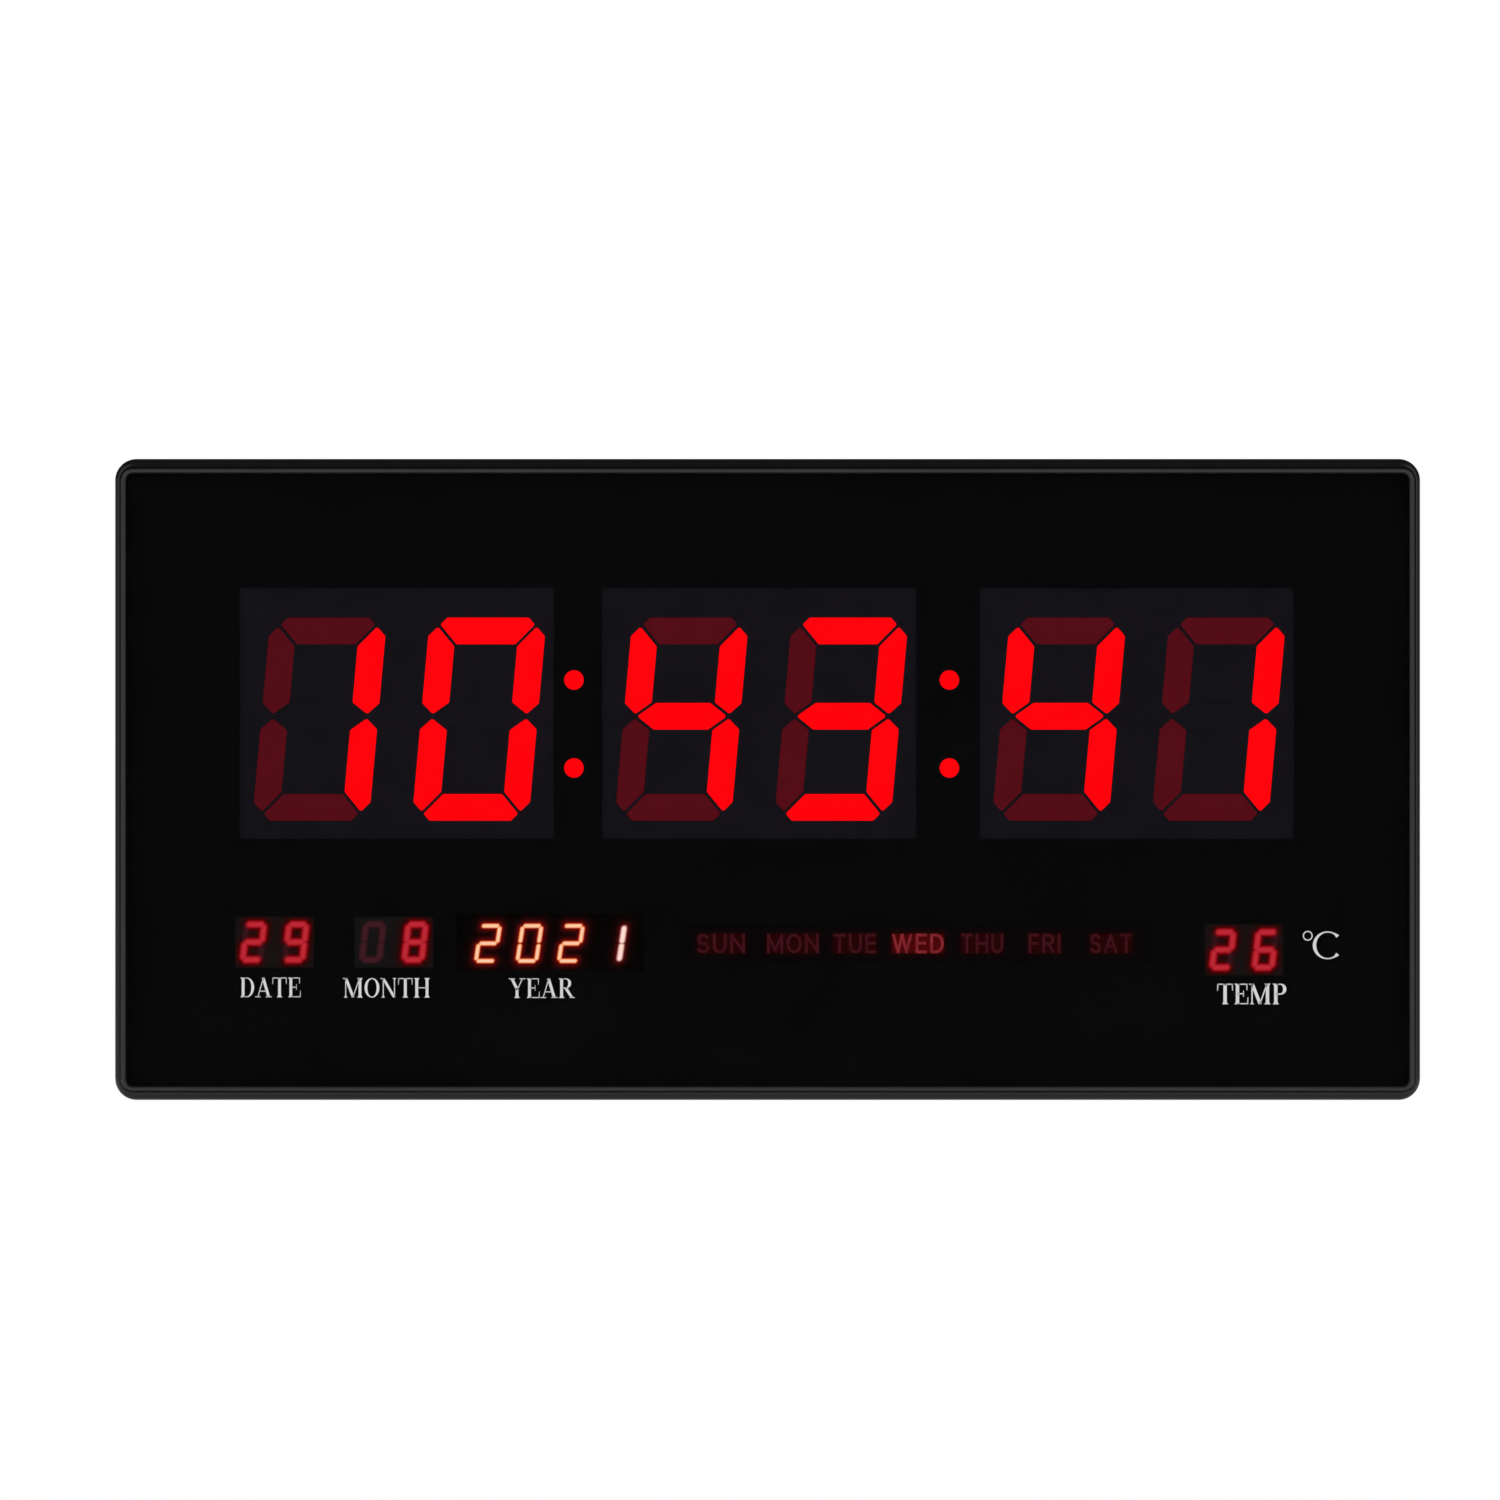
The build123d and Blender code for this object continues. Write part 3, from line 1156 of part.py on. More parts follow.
def save_large_displays():
    """The three large displays: block, lit lenses, dark lenses and lamps."""
    outlines = digit_outlines(LARGE_DIGIT)
    reflector = make_reflector(outlines)
    lamps = Compound(reflector_lamps(outlines))
    lens_front = DISPLAY_FRONT - LENS_SETBACK
    lens_back = lens_front - LENS_THICKNESS
    displays = [("hours", HOURS_X, HOURS_LIT), ("minutes", MINUTES_X, MINUTES_LIT)]
    displays.append(("seconds", SECONDS_X, SECONDS_LIT))
    for name, x, letters in displays:
        place = Pos(x, LARGE_ROW_Y, 0)
        lit, dark = split_segments(outlines, letters, large_places(), lens_back, lens_front)
        save(f"{name}_reflector", place * reflector)
        save(f"{name}_segments_lit", place * Compound(lit))
        save(f"{name}_segments_dark", place * Compound(dark))
        save(f"{name}_lamps", place * lamps)


def save_small_display(name, letters, outlines, housing, places, x, y):
    """One small display: housing, lit lenses and dark lenses."""
    place = Pos(x, y, 0)
    lit, dark = split_segments(outlines, letters, places, DISPLAY_FRONT - SMALL_LENS, DISPLAY_FRONT)
    save(f"{name}_housing", place * housing)
    save(f"{name}_segments_lit", place * Compound(lit))
    if dark:
        save(f"{name}_segments_dark", place * Compound(dark))


def save_small_displays():
    """The date, month, year and temperature displays."""
    outlines = digit_outlines(SMALL_DIGIT)
    places = [(x, 0) for x in spread(2, SMALL_PITCH)]
    housing = make_housing(PAIR_WIDTH, PAIR_HEIGHT, outlines, places)
    save_small_display("date", DATE_LIT, outlines, housing, places, DATE_X, ROW_Y)
    save_small_display("month", MONTH_LIT, outlines, housing, places, MONTH_X, ROW_Y)
    place = (TEMPERATURE_X, TEMPERATURE_Y)
    save_small_display("temperature", TEMPERATURE_LIT, outlines, housing, places, *place)
    outlines = digit_outlines(YEAR_DIGIT)
    places = [(x, 0) for x in spread(YEAR_COUNT, YEAR_PITCH)]
    housing = make_housing(YEAR_WIDTH, YEAR_HEIGHT, outlines, places)
    save_small_display("year", YEAR_LIT, outlines, housing, places, YEAR_X, ROW_Y)


def save_buttons():
    """Caps and plungers one by one, and the switch bodies together."""
    bodies = []
    for name, (x, y) in button_places():
        save(f"{name}_button", make_button(x, y))
        save(f"{name}_plunger", make_plunger(x, y))
        bodies.append(make_switch_body(x, y))
    save("switch_bodies", bodies)


def save_electronics():
    """The board and the pieces on its rear face."""
    save("main_board", make_main_board())
    save("clock_chip", make_chip(CLOCK_CHIP_LEG_COUNT, CLOCK_CHIP_X, CLOCK_CHIP_Y))
    driver_y = LARGE_ROW_Y + DRIVER_RISE
    columns = (HOURS_X, MINUTES_X, SECONDS_X)
    save("driver_chips", [make_chip(DRIVER_LEG_COUNT, x, driver_y) for x in columns])
    save("segment_resistors", make_resistors())
    save("crystal", make_crystal())
    save("buzzer", make_buzzer())
    save("capacitors", make_capacitors())
    save("temperature_sensor", make_sensor())
    save("dc_jack", make_dc_jack())
    save("dc_jack_pin", make_dc_jack_pin())
    save("cell_holder", make_cell_holder())
    save("cell_contacts", make_cell_contacts())
    save("coin_cell", make_coin_cell())


def save_weekdays():
    """The weekday light box, its film and its seven lamps."""
    save("weekday_light_box", make_weekday_box())
    save("weekday_film", make_weekday_film())
    row = [WEEKDAY_X + step for step in spread(WEEKDAY_COUNT, WEEKDAY_PITCH)]
    save("weekday_lamps", [lamp_box(x, WEEKDAY_Y) for x in row])


def save_case():
    """The case, its panel, its cover and all screws."""
    save("front_bezel", make_front_bezel())
    save("front_panel", make_front_panel())
    save("printed_mask", make_printed_mask())
    save("panel_tape", make_panel_tape())
    save("rear_cover", make_rear_cover())
    save("battery_door", make_battery_door())
    save("cover_screws", place_screws(COVER_SCREW_LENGTH, cover_screw_places(), SCREW_SEAT))
    save("board_screws", place_screws(BOARD_SCREW_LENGTH, board_post_places(), BOARD_BACK))


os.makedirs("parts", exist_ok=True)
save_case()
save_large_displays()
save_small_displays()
save_weekdays()
save("colon_lamps", make_colon_lamps())
save_buttons()
save_electronics()
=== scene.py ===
"""Dresses a digital wall clock: finishes, printed words, glowing displays, light and camera."""

import json
import math
from collections import namedtuple

import bpy
import numpy as np
from bpy.props import FloatProperty, FloatVectorProperty, PointerProperty
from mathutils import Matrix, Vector


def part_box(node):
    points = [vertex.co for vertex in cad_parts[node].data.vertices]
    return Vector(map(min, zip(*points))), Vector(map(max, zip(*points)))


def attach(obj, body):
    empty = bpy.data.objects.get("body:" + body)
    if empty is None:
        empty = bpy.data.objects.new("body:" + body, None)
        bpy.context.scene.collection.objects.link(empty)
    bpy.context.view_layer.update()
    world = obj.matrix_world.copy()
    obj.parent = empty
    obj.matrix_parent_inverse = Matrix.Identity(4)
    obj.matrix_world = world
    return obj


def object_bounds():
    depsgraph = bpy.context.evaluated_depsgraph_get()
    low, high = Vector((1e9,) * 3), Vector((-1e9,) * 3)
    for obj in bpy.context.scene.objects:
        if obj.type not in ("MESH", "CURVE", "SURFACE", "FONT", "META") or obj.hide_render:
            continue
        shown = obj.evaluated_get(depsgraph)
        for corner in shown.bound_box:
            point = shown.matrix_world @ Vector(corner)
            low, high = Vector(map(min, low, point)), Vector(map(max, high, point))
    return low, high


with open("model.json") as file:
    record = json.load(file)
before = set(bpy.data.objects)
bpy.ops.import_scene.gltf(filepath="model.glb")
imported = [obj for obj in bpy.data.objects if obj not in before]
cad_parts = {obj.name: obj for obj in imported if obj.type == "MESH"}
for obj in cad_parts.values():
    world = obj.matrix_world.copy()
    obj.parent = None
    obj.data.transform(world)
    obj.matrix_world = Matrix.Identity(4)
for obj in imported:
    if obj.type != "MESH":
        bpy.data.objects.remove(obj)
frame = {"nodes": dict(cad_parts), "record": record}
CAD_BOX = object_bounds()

bl_info = {
    "name": "Digital wall clock",
    "version": (1, 0, 0),
    "blender": (4, 5, 0),
    "location": "View3D > Sidebar > Clock",
    "description": "Finishes, words, glowing displays, light and camera of a digital wall clock",
    "category": "Object",
}

# Lengths below are in millimetres on the dial: x to the right, z up, from the middle of the case
MM = 0.001
BODY = "case"


def tone(red, green, blue):
    """Linear light of a screen colour in steps of 255, by undoing the standard screen curve."""
    part = np.array([red, green, blue]) / 255
    curve = np.where(part <= 0.04045, part / 12.92, ((part + 0.055) / 1.055) ** 2.4)
    return tuple(curve.tolist())


def depth_of(node):
    """Distance of a node's front face from the wall plane, in millimetres."""
    return -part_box(node)[0].y / MM


# Settings


def colour(name, description, *screen):
    """A colour setting, given as a screen colour."""
    kind = {"subtype": "COLOR", "size": 3, "min": 0.0, "max": 1.0}
    return FloatVectorProperty(name=name, description=description, default=tone(*screen), **kind)


def number(name, description, value, **kind):
    """A number setting of a given kind."""
    return FloatProperty(name=name, description=description, default=value, **kind)


def length(name, description, millimetres, **kind):
    """A length setting, given in millimetres and kept in metres."""
    kind = {"subtype": "DISTANCE", "unit": "LENGTH", "min": 0.0, "precision": 5, **kind}
    return number(name, description, millimetres * MM, **kind)


class ClockFinishes(bpy.types.PropertyGroup):
    """Colours of the clock's surfaces."""

    case: colour("Case", "Satin plastic of the front frame", 19, 19, 20)
    # Painted highlight: the bead's paler colour stands in for the shine along its crest
    bead: colour("Bead", "Paler line of the frame round the panel", 50, 50, 52)
    cover: colour("Cover", "Textured plastic of the rear cover", 34, 34, 36)
    panel: colour("Panel", "Light that each face of the smoked panel lets through", 246, 246, 247)
    mask: colour("Mask", "Ink behind the panel", 12, 12, 12)
    block: colour("Block", "Faces of the large display blocks", 26, 24, 29)
    lit: colour("Lit", "Lit large segments and colon lamps", 253, 2, 10)
    # Half of the unlit segments' colour is painted light, given as emission
    unlit: colour("Unlit", "Unlit large segments", 91, 15, 25)
    word: colour("Words", "White ink of the words on the panel", 224, 224, 224)
    # The unlit weekday words glow with this colour, which is painted light given as emission
    weekday: colour("Weekday", "Unlit weekday words", 66, 19, 25)
    today: colour("Today", "The lit weekday word", 120, 34, 38)
    board: colour("Board", "Solder resist of the main board", 22, 84, 50)


class ClockWords(bpy.types.PropertyGroup):
    """Sizes of the printed words."""

    print_height: length("Print height", "How far the words stand off their ground", 0.04)
    weekday_stroke: length("Weekday stroke", "Stroke width of the weekday words", 1.0)
    weekday_cap: length("Weekday height", "Capital height of the weekday words", 6.85)
    mark_cap: length("Mark height", "Capital height of the words beside the buttons", 2.2)
    mark_stroke: length("Mark stroke", "Stroke width of the words beside the buttons", 0.34)


class ClockGlow(bpy.types.PropertyGroup):
    """Glow of the small displays."""

    pitch: length("Film pitch", "Grid step of the glow films", 0.25)
    thickness: length("Film thickness", "Thickness of the glow films", 0.12)
    gap: length("Film gap", "Room between a display's face and its glow film", 0.04)
    # Reaches of the glow round lit segments and words, which is a painted light spill
    red_reach: length("Red reach", "Distance in which the red displays' glow fades to a third", 1.2)
    year_reach: length("Year reach", "Distance in which the year display's glow fades to a third", 1.3)
    weekday_reach: length("Weekday reach", "Distance in which the weekdays' haze fades to a third", 0.8)


class ClockStage(bpy.types.PropertyGroup):
    """Light, floor and camera."""

    camera_distance: length("Camera distance", "Distance from the camera to the frame's widest line", 2600.0)
    view_width: length("View width", "Width of the picture at the frame's widest line", 524.2)
    view_x: length("View x", "Middle of the picture across the dial", -6.15, min=-1.0)
    view_z: length("View z", "Middle of the picture up the dial", 10.30, min=-1.0)
    floor_drop: length("Floor drop", "Room between the clock and the floor", 220.0)
    key_power: number("Side light", "Power of each side soft box", 16.0, unit="POWER", min=0.0)
    fill: number("Fill", "Level of the light from all round", 0.62, subtype="FACTOR", min=0.0, max=1.0)


# Shader nodes

WHITE = (1.0, 1.0, 1.0, 1.0)
# Marks between which most of a noise lies, and how finely it is broken up in each of its uses
NOISE_MARKS = (0.3, 0.7)
BLOTCH_DETAIL = 4.0
WEAR_DETAIL = 3.0
FINE_DETAIL = 2.0


def set_inputs(tree, node, inputs):
    """Set a node's inputs: one that is given a socket is linked, and any other holds its value."""
    for key, value in inputs.items():
        if isinstance(value, bpy.types.NodeSocket):
            tree.links.new(value, node.inputs[key])
        else:
            node.inputs[key].default_value = value


def add_node(tree, kind, inputs=None, **settings):
    """A shader node with its settings and inputs."""
    node = tree.nodes.new(f"ShaderNode{kind}")
    for key, value in settings.items():
        setattr(node, key, value)
    set_inputs(tree, node, inputs or {})
    return node


def add_noise(tree, scale, detail, stretch=None):
    """Noise on Object coordinates, stretched along an axis where asked."""
    place = add_node(tree, "TexCoord").outputs["Object"]
    if stretch:
        place = add_node(tree, "Mapping", {"Vector": place, "Scale": stretch}).outputs["Vector"]
    noise = add_node(tree, "TexNoise", {"Vector": place, "Scale": scale, "Detail": detail})
    return noise.outputs["Fac"]


def add_ramp(tree, source, stops):
    """Colour ramp through stops of place and colour."""
    ramp = add_node(tree, "ValToRGB", {"Fac": source})
    band = ramp.color_ramp.elements
    for place, _ in stops[1:-1]:
        band.new(place)
    for element, (place, value) in zip(band, stops):
        element.position = place
        element.color = (*value, 1.0)
    return ramp.outputs["Color"]


def add_range(tree, source, marks, levels, way="LINEAR"):
    """A source carried from between two marks to between two levels."""
    ends = dict(zip(("From Min", "From Max", "To Min", "To Max"), (*marks, *levels)))
    node = add_node(tree, "MapRange", {"Value": source, **ends}, interpolation_type=way)
    return node.outputs["Result"]


def add_math(tree, operation, first, second):
    """What an operation makes of two numbers, each a value or a socket."""
    return add_node(tree, "Math", {0: first, 1: second}, operation=operation).outputs["Value"]


def add_bump(tree, source, height):
    """Normal of a surface that a source raises by up to a height in millimetres."""
    inputs = {"Strength": 1.0, "Distance": height * MM, "Height": source}
    return add_node(tree, "Bump", inputs).outputs["Normal"]


def start_finish(name):
    """A new material with one Principled shader."""
    finish = bpy.data.materials.new(name)
    finish.use_nodes = True
    tree = finish.node_tree
    tree.nodes.clear()
    skin = add_node(tree, "BsdfPrincipled")
    add_node(tree, "OutputMaterial", {"Surface": skin.outputs["BSDF"]})
    return finish, tree, skin


def mix_surface(tree, share, first, second):
    """Make a mix of two shaders the material's surface."""
    mix = add_node(tree, "MixShader", {0: share, 1: first, 2: second})
    set_inputs(tree, tree.nodes["Material Output"], {"Surface": mix.outputs["Shader"]})


def shaded(light, factor):
    """A colour made lighter or darker."""
    return tuple(min(part * factor, 1.0) for part in light)


def mottled(tree, source, light, mottle):
    """A colour that a noise makes darker and lighter by a share."""
    tones = (shaded(light, 1 - mottle), shaded(light, 1 + mottle))
    return add_ramp(tree, source, tuple(zip(NOISE_MARKS, tones)))


# Finishes

# Plastics, metals and inks: the colour as the name of a setting or as a screen colour, then the
# roughness, share and scale of the mottle, height in millimetres and scale of the grain, metalness,
# stretch of both along x, y and z, and gloss. Scales are per metre
FIELDS = "colour rough mottle spots grain pores metal stretch gloss"
Moulding = namedtuple("Moulding", FIELDS, defaults=(0.0, 0.0, 0.0, None, 0.5))
CELL_BRUSH = (1.0, 1.0, 6.0)
PIN_BRUSH = (1.0, 1.0, 9.0)
CAN_BRUSH = (1.0, 9.0, 1.0)
# By the record's material slot
MOULDINGS = {
    "gloss_case": Moulding("case", 0.24, 0.06, 220.0, 0.004, 1400.0, gloss=0.36),
    "matte_case": Moulding("cover", 0.62, 0.05, 420.0, 0.05, 1500.0),
    "mask_ink": Moulding("mask", 0.6, 0.1, 90.0, gloss=0.0),
    "foam_tape": Moulding((38, 38, 38), 0.9, 0.2, 300.0, 0.08, 1800.0),
    "lamp_body": Moulding((214, 208, 186), 0.4, 0.06, 200.0),
    "light_box": Moulding((226, 226, 222), 0.5, 0.05, 100.0, 0.02, 1600.0),
    "legend_film": Moulding((8, 6, 7), 0.55, 0.12, 100.0, gloss=0.0),
    "screw_steel": Moulding((196, 196, 200), 0.34, 0.08, 900.0, 0.004, 2600.0, 1.0),
    "switch_black": Moulding((26, 26, 27), 0.5, 0.12, 150.0, 0.02, 1800.0),
    "button_grey": Moulding((116, 117, 120), 0.48, 0.07, 160.0, 0.02, 2200.0),
    "plunger_white": Moulding((222, 221, 214), 0.45, 0.05, 200.0),
    "cell_steel": Moulding((205, 205, 206), 0.26, 0.025, 900.0, 0.002, 1600.0, 1.0, CELL_BRUSH),
    "contact_metal": Moulding((206, 202, 192), 0.22, 0.04, 500.0, 0.003, 900.0, 1.0, PIN_BRUSH),
    "chip_epoxy": Moulding((30, 30, 31), 0.66, 0.12, 300.0, 0.02, 2400.0),
    "can_aluminium": Moulding((200, 202, 205), 0.34, 0.07, 300.0, 0.004, 900.0, 1.0, CAN_BRUSH),
}
# The large blocks, and what shares a node or lies on one
BLOCK_FACE = Moulding("block", 0.6, 0.1, 80.0, 0.01, 2000.0, gloss=0.0)
# Painted highlight: the bead's crest gets a paler colour than the case, in place of its shine
BEAD_PAINTED_HIGHLIGHT = Moulding("bead", 0.24, 0.08, 60.0, gloss=0.36)
TINNED_PIN = Moulding((206, 206, 202), 0.36, 0.08, 900.0, metal=1.0)
WORD_INK = Moulding("word", 0.55, 0.04, 500.0)
MARK_INK = Moulding((196, 196, 194), 0.6, 0.05, 600.0)
# A moulding's roughness varies by a share of itself, on a noise some times finer than the mottle
WEAR = 0.12
WEAR_FINER = 3


def moulded(name, row, colours, lift=1.0):
    """Plastic, metal or ink: mottled colour, uneven roughness and, where it has one, a fine grain."""
    finish, tree, skin = start_finish(name)
    light = getattr(colours, row.colour) if isinstance(row.colour, str) else tone(*row.colour)
    blotch = add_noise(tree, row.spots, BLOTCH_DETAIL, row.stretch)
    wear = add_noise(tree, row.spots * WEAR_FINER, WEAR_DETAIL, row.stretch)
    inputs = {
        "Metallic": row.metal,
        "Specular IOR Level": row.gloss,
        "Base Color": mottled(tree, blotch, shaded(light, lift), row.mottle),
        "Roughness": add_range(tree, wear, NOISE_MARKS, (row.rough * (1 - WEAR), row.rough * (1 + WEAR))),
    }
    if row.grain:
        pores = add_noise(tree, row.pores, FINE_DETAIL, row.stretch)
        inputs["Normal"] = add_bump(tree, pores, row.grain)
    set_inputs(tree, skin, inputs)
    return finish


LENS_ROUGH = 0.45


def set_glow(tree, skin, ground, rough, light, strength):
    """Make a shader a plastic without gloss that glows."""
    inputs = {
        "Base Color": (*ground, 1.0),
        "Roughness": rough,
        "Specular IOR Level": 0.0,
        "Emission Color": light,
        "Emission Strength": strength,
    }
    set_inputs(tree, skin, inputs)


def glowing(name, light, strength, mottle, spots=120.0, base=0.3):
    """A lit lens, or an unlit one whose emission is painted light in place of the light falling on it: a
    slightly uneven emission over a plastic of a share of its colour.
    """
    finish, tree, skin = start_finish(name)
    blotch = add_noise(tree, spots, FINE_DETAIL)
    emission = mottled(tree, blotch, light, mottle)
    set_glow(tree, skin, shaded(light, base), LENS_ROUGH, emission, strength)
    return finish


# Panel: refractive index, and scale, stretch and roughness of the smears on its faces
PANEL_IOR = 1.49
SMEAR_SCALE = 18.0
SMEAR_STRETCH = (1.0, 1.0, 2.4)
SMEAR_ROUGH = (0.04, 0.09)


def smoked(name, light):
    """Clear smoked panel: light passes straight through, and each face mirrors by Fresnel, from outside
    only, with faint smears."""
    finish, tree, skin = start_finish(name)
    tree.nodes.remove(skin)
    smear = add_noise(tree, SMEAR_SCALE, BLOTCH_DETAIL, SMEAR_STRETCH)
    rough = add_range(tree, smear, NOISE_MARKS, SMEAR_ROUGH)
    clear = add_node(tree, "BsdfTransparent", {"Color": (*light, 1.0)})
    gloss = add_node(tree, "BsdfGlossy", {"Color": WHITE, "Roughness": rough})
    edge = add_node(tree, "Fresnel", {"IOR": PANEL_IOR}).outputs["Fac"]
    inner = add_node(tree, "NewGeometry").outputs["Backfacing"]
    mirror = add_math(tree, "MULTIPLY", edge, add_math(tree, "SUBTRACT", 1.0, inner))
    mix_surface(tree, mirror, clear.outputs["BSDF"], gloss.outputs["BSDF"])
    return finish


def through_panel(colours):
    """What emission gains to make up for the two faces of the panel."""
    mirrored = ((PANEL_IOR - 1) / (PANEL_IOR + 1)) ** 2
    return 1 / (max(colours.panel) ** 2 * (1 - mirrored))


# Board: roughness of its resist, sizes of the brick pattern, how much lighter or darker each part of the
# pattern is, and the tracks' height
RESIST_ROUGH = 0.35
TRACK_SIZES = {
    "Scale": 60.0,
    "Mortar Size": 0.03,
    "Mortar Smooth": 0.2,
    "Brick Width": 0.9,
    "Row Height": 0.16,
}
TRACK_TONES = {"Color1": 1.0, "Color2": 0.85, "Mortar": 1.7}
TRACK_HEIGHT = 0.04


def circuit(name, light):
    """Green solder resist with a raised pattern of tracks, from a brick pattern on Object coordinates."""
    finish, tree, skin = start_finish(name)
    place = add_node(tree, "TexCoord").outputs["Object"]
    upright = add_node(tree, "Mapping", {"Vector": place, "Rotation": (math.pi / 2, 0.0, 0.0)})
    tones = {key: (*shaded(light, factor), 1.0) for key, factor in TRACK_TONES.items()}
    track = add_node(tree, "TexBrick", {"Vector": upright.outputs["Vector"], **TRACK_SIZES, **tones})
    inputs = {
        "Base Color": track.outputs["Color"],
        "Roughness": RESIST_ROUGH,
        "Normal": add_bump(tree, track.outputs["Fac"], TRACK_HEIGHT),
    }
    set_inputs(tree, skin, inputs)
    return finish


# Glow films: plastic that the glow stands on, and its roughness
FILM_GROUND = (0.002, 0.0015, 0.0015)
FILM_ROUGH = 0.5


def film(name, stops, tint, strength):
    """Glow film: the piece's own shine attribute picks the light from a ramp, and its tint attribute
    lightens that towards one more colour."""
    finish, tree, skin = start_finish(name)
    shine = add_node(tree, "Attribute", attribute_name="shine").outputs["Fac"]
    tint_share = add_node(tree, "Attribute", attribute_name="tint").outputs["Fac"]
    mix = add_node(tree, "Mix", data_type="RGBA", blend_type="LIGHTEN")
    sockets = {socket.identifier: socket for socket in (*mix.inputs, *mix.outputs)}
    sockets["B_Color"].default_value = (*tint, 1.0)
    tree.links.new(tint_share, sockets["Factor_Float"])
    tree.links.new(add_ramp(tree, shine, stops), sockets["A_Color"])
    set_glow(tree, skin, FILM_GROUND, FILM_ROUGH, sockets["Result_Color"], strength)
    return finish


def make_finishes(colours):
    """One finish for each of the record's material slots. Half of an unlit lens's colour is painted light, an
    emission in place of the light falling on it.
    """
    lift = through_panel(colours)
    return {
        **{slot: moulded(slot, row, colours) for slot, row in MOULDINGS.items()},
        "housing_grey": moulded("display_block", BLOCK_FACE, colours, lift),
        "smoked_panel": smoked("smoked_panel", colours.panel),
        "board_green": circuit("solder_resist", colours.board),
        "lens_lit": glowing("lit_lens", colours.lit, lift, mottle=0.02),
        # Painted light: the unlit lens glows with half its colour in place of the light falling on it
        "lens_dark": glowing("unlit_lens", colours.unlit, lift / 2, mottle=0.08, base=lift / 2),
        "year_lens_lit": glowing("year_lens", tone(255, 205, 171), lift, mottle=0.04),
    }


def dress(piece, finish):
    """Give a piece one finish all over."""
    piece.data.materials.clear()
    piece.data.materials.append(finish)


class CLOCK_OT_finish_nodes(bpy.types.Operator):
    """Give each solid of the clock the finish of its material slot"""

    bl_idname = "clock.finish_nodes"
    bl_label = "Finish the solids"

    def execute(self, context):
        finishes = make_finishes(context.scene.clock_finishes)
        for row in frame["record"]["subparts"]:
            dress(frame["nodes"][row["node"]], finishes[row["material_slot"]])
        return {"FINISHED"}


def face_middles(node):
    """Middles of a node's faces: across the dial, out from the wall plane and up the dial."""
    faces = node.data.polygons
    middle = np.empty(len(faces) * 3)
    faces.foreach_get("center", middle)
    x, y, z = middle.reshape(-1, 3).T / MM
    return x, -y, z


def finish_faces(node, finish, chosen):
    """Give the chosen faces of a node a second finish."""
    node.data.materials.append(finish)
    node.data.polygons.foreach_set("material_index", chosen.astype(np.int32))
    node.data.update()


# Height of the bead's crest, down from the frame's front, that is painted paler as a highlight
CREST = 0.09


class CLOCK_OT_bead_highlight(bpy.types.Operator):
    """Paint a highlight on the crest of the frame's bead round the panel: a paler colour than the rest"""

    bl_idname = "clock.bead"
    bl_label = "Finish the bead"

    def execute(self, context):
        node = frame["nodes"]["front_bezel"]
        # Painted highlight: the faces at the bead's crest get the paler colour
        pale = moulded("bead_crest", BEAD_PAINTED_HIGHLIGHT, context.scene.clock_finishes)
        finish_faces(node, pale, face_middles(node)[1] > depth_of(node.name) - CREST)
        return {"FINISHED"}


# Pieces whose pins pass through the board, and how far behind its front a face counts as a pin's
PINNED = ("colon_lamps", "date_housing", "month_housing", "year_housing", "temperature_housing")
PIN_ROOM = 0.1


class CLOCK_OT_pins(bpy.types.Operator):
    """Tin the pins of the lamps and small displays where they pass through the board"""

    bl_idname = "clock.pins"
    bl_label = "Tin the pins"

    def execute(self, context):
        tin = moulded("tinned_pin", TINNED_PIN, context.scene.clock_finishes)
        for name in PINNED:
            node = frame["nodes"][name]
            finish_faces(node, tin, face_middles(node)[1] < depth_of("main_board") - PIN_ROOM)
        return {"FINISHED"}


# Large digits: half their width, their stroke, the distance between a pair, how far a pair stands to the
# right of its block's middle, the height of their middle bars on the dial, and their slant
LARGE_HALF = 20.35
LARGE_STROKE = 9.3
LARGE_SPACING = 55.8
LARGE_SHIFT = 0.85
LARGE_MIDDLE = 22.1
LARGE_SLOPE = math.tan(math.radians(5.1))
# Middle bar: its tip, from the digit's middle, the slope of its edges at the tip, and room round it
BAR_TIP = LARGE_HALF - LARGE_STROKE / 2
BAR_SLOPE = 0.75
BAR_ROOM = 0.6
# A middle bar that stays unlit is a little darker than the block round it, and half of its colour is painted
# light, given as emission
FADE = 0.84


def middle_bars(node, block):
    """True for the faces whose middle lies in a digit's middle bar: a lozenge that narrows from the
    digit's middle to the bar's two tips, after the digit's slant is taken out."""
    x, _, z = face_middles(node)
    low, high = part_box(block)
    centre = (low.x + high.x) / 2 / MM + LARGE_SHIFT
    across = np.abs(x - centre - (z - LARGE_MIDDLE) * LARGE_SLOPE)
    across = np.abs(across - LARGE_SPACING / 2)
    return np.abs(z - LARGE_MIDDLE) < BAR_SLOPE * (BAR_TIP - across) + BAR_ROOM


class CLOCK_OT_fade_bars(bpy.types.Operator):
    """Fade the unlit middle bars of the large digits into their blocks"""

    bl_idname = "clock.fade_bars"
    bl_label = "Fade the unlit middle bars"

    def execute(self, context):
        colours = context.scene.clock_finishes
        half = through_panel(colours) / 2
        # Painted light: half of the bar's colour is an emission in place of the light falling on it
        faded = glowing("faded_lens", shaded(colours.block, FADE), half, mottle=0.06, base=half)
        for name in ("hours", "seconds"):
            node = frame["nodes"][f"{name}_segments_dark"]
            finish_faces(node, faded, middle_bars(node, f"{name}_reflector"))
        return {"FINISHED"}


# Letters

# Bold capitals with serifs, as shares of their height: thick strokes, thin ones, slabs, the points of
# ticks, reach and rise of the serifs, and place of the main stem
BOLD = 0.145
HAIR = 0.046
SLAB = 0.045
TICK = 0.02
SERIF_REACH = 0.08
SERIF_RISE = 0.11
STEM = 0.18


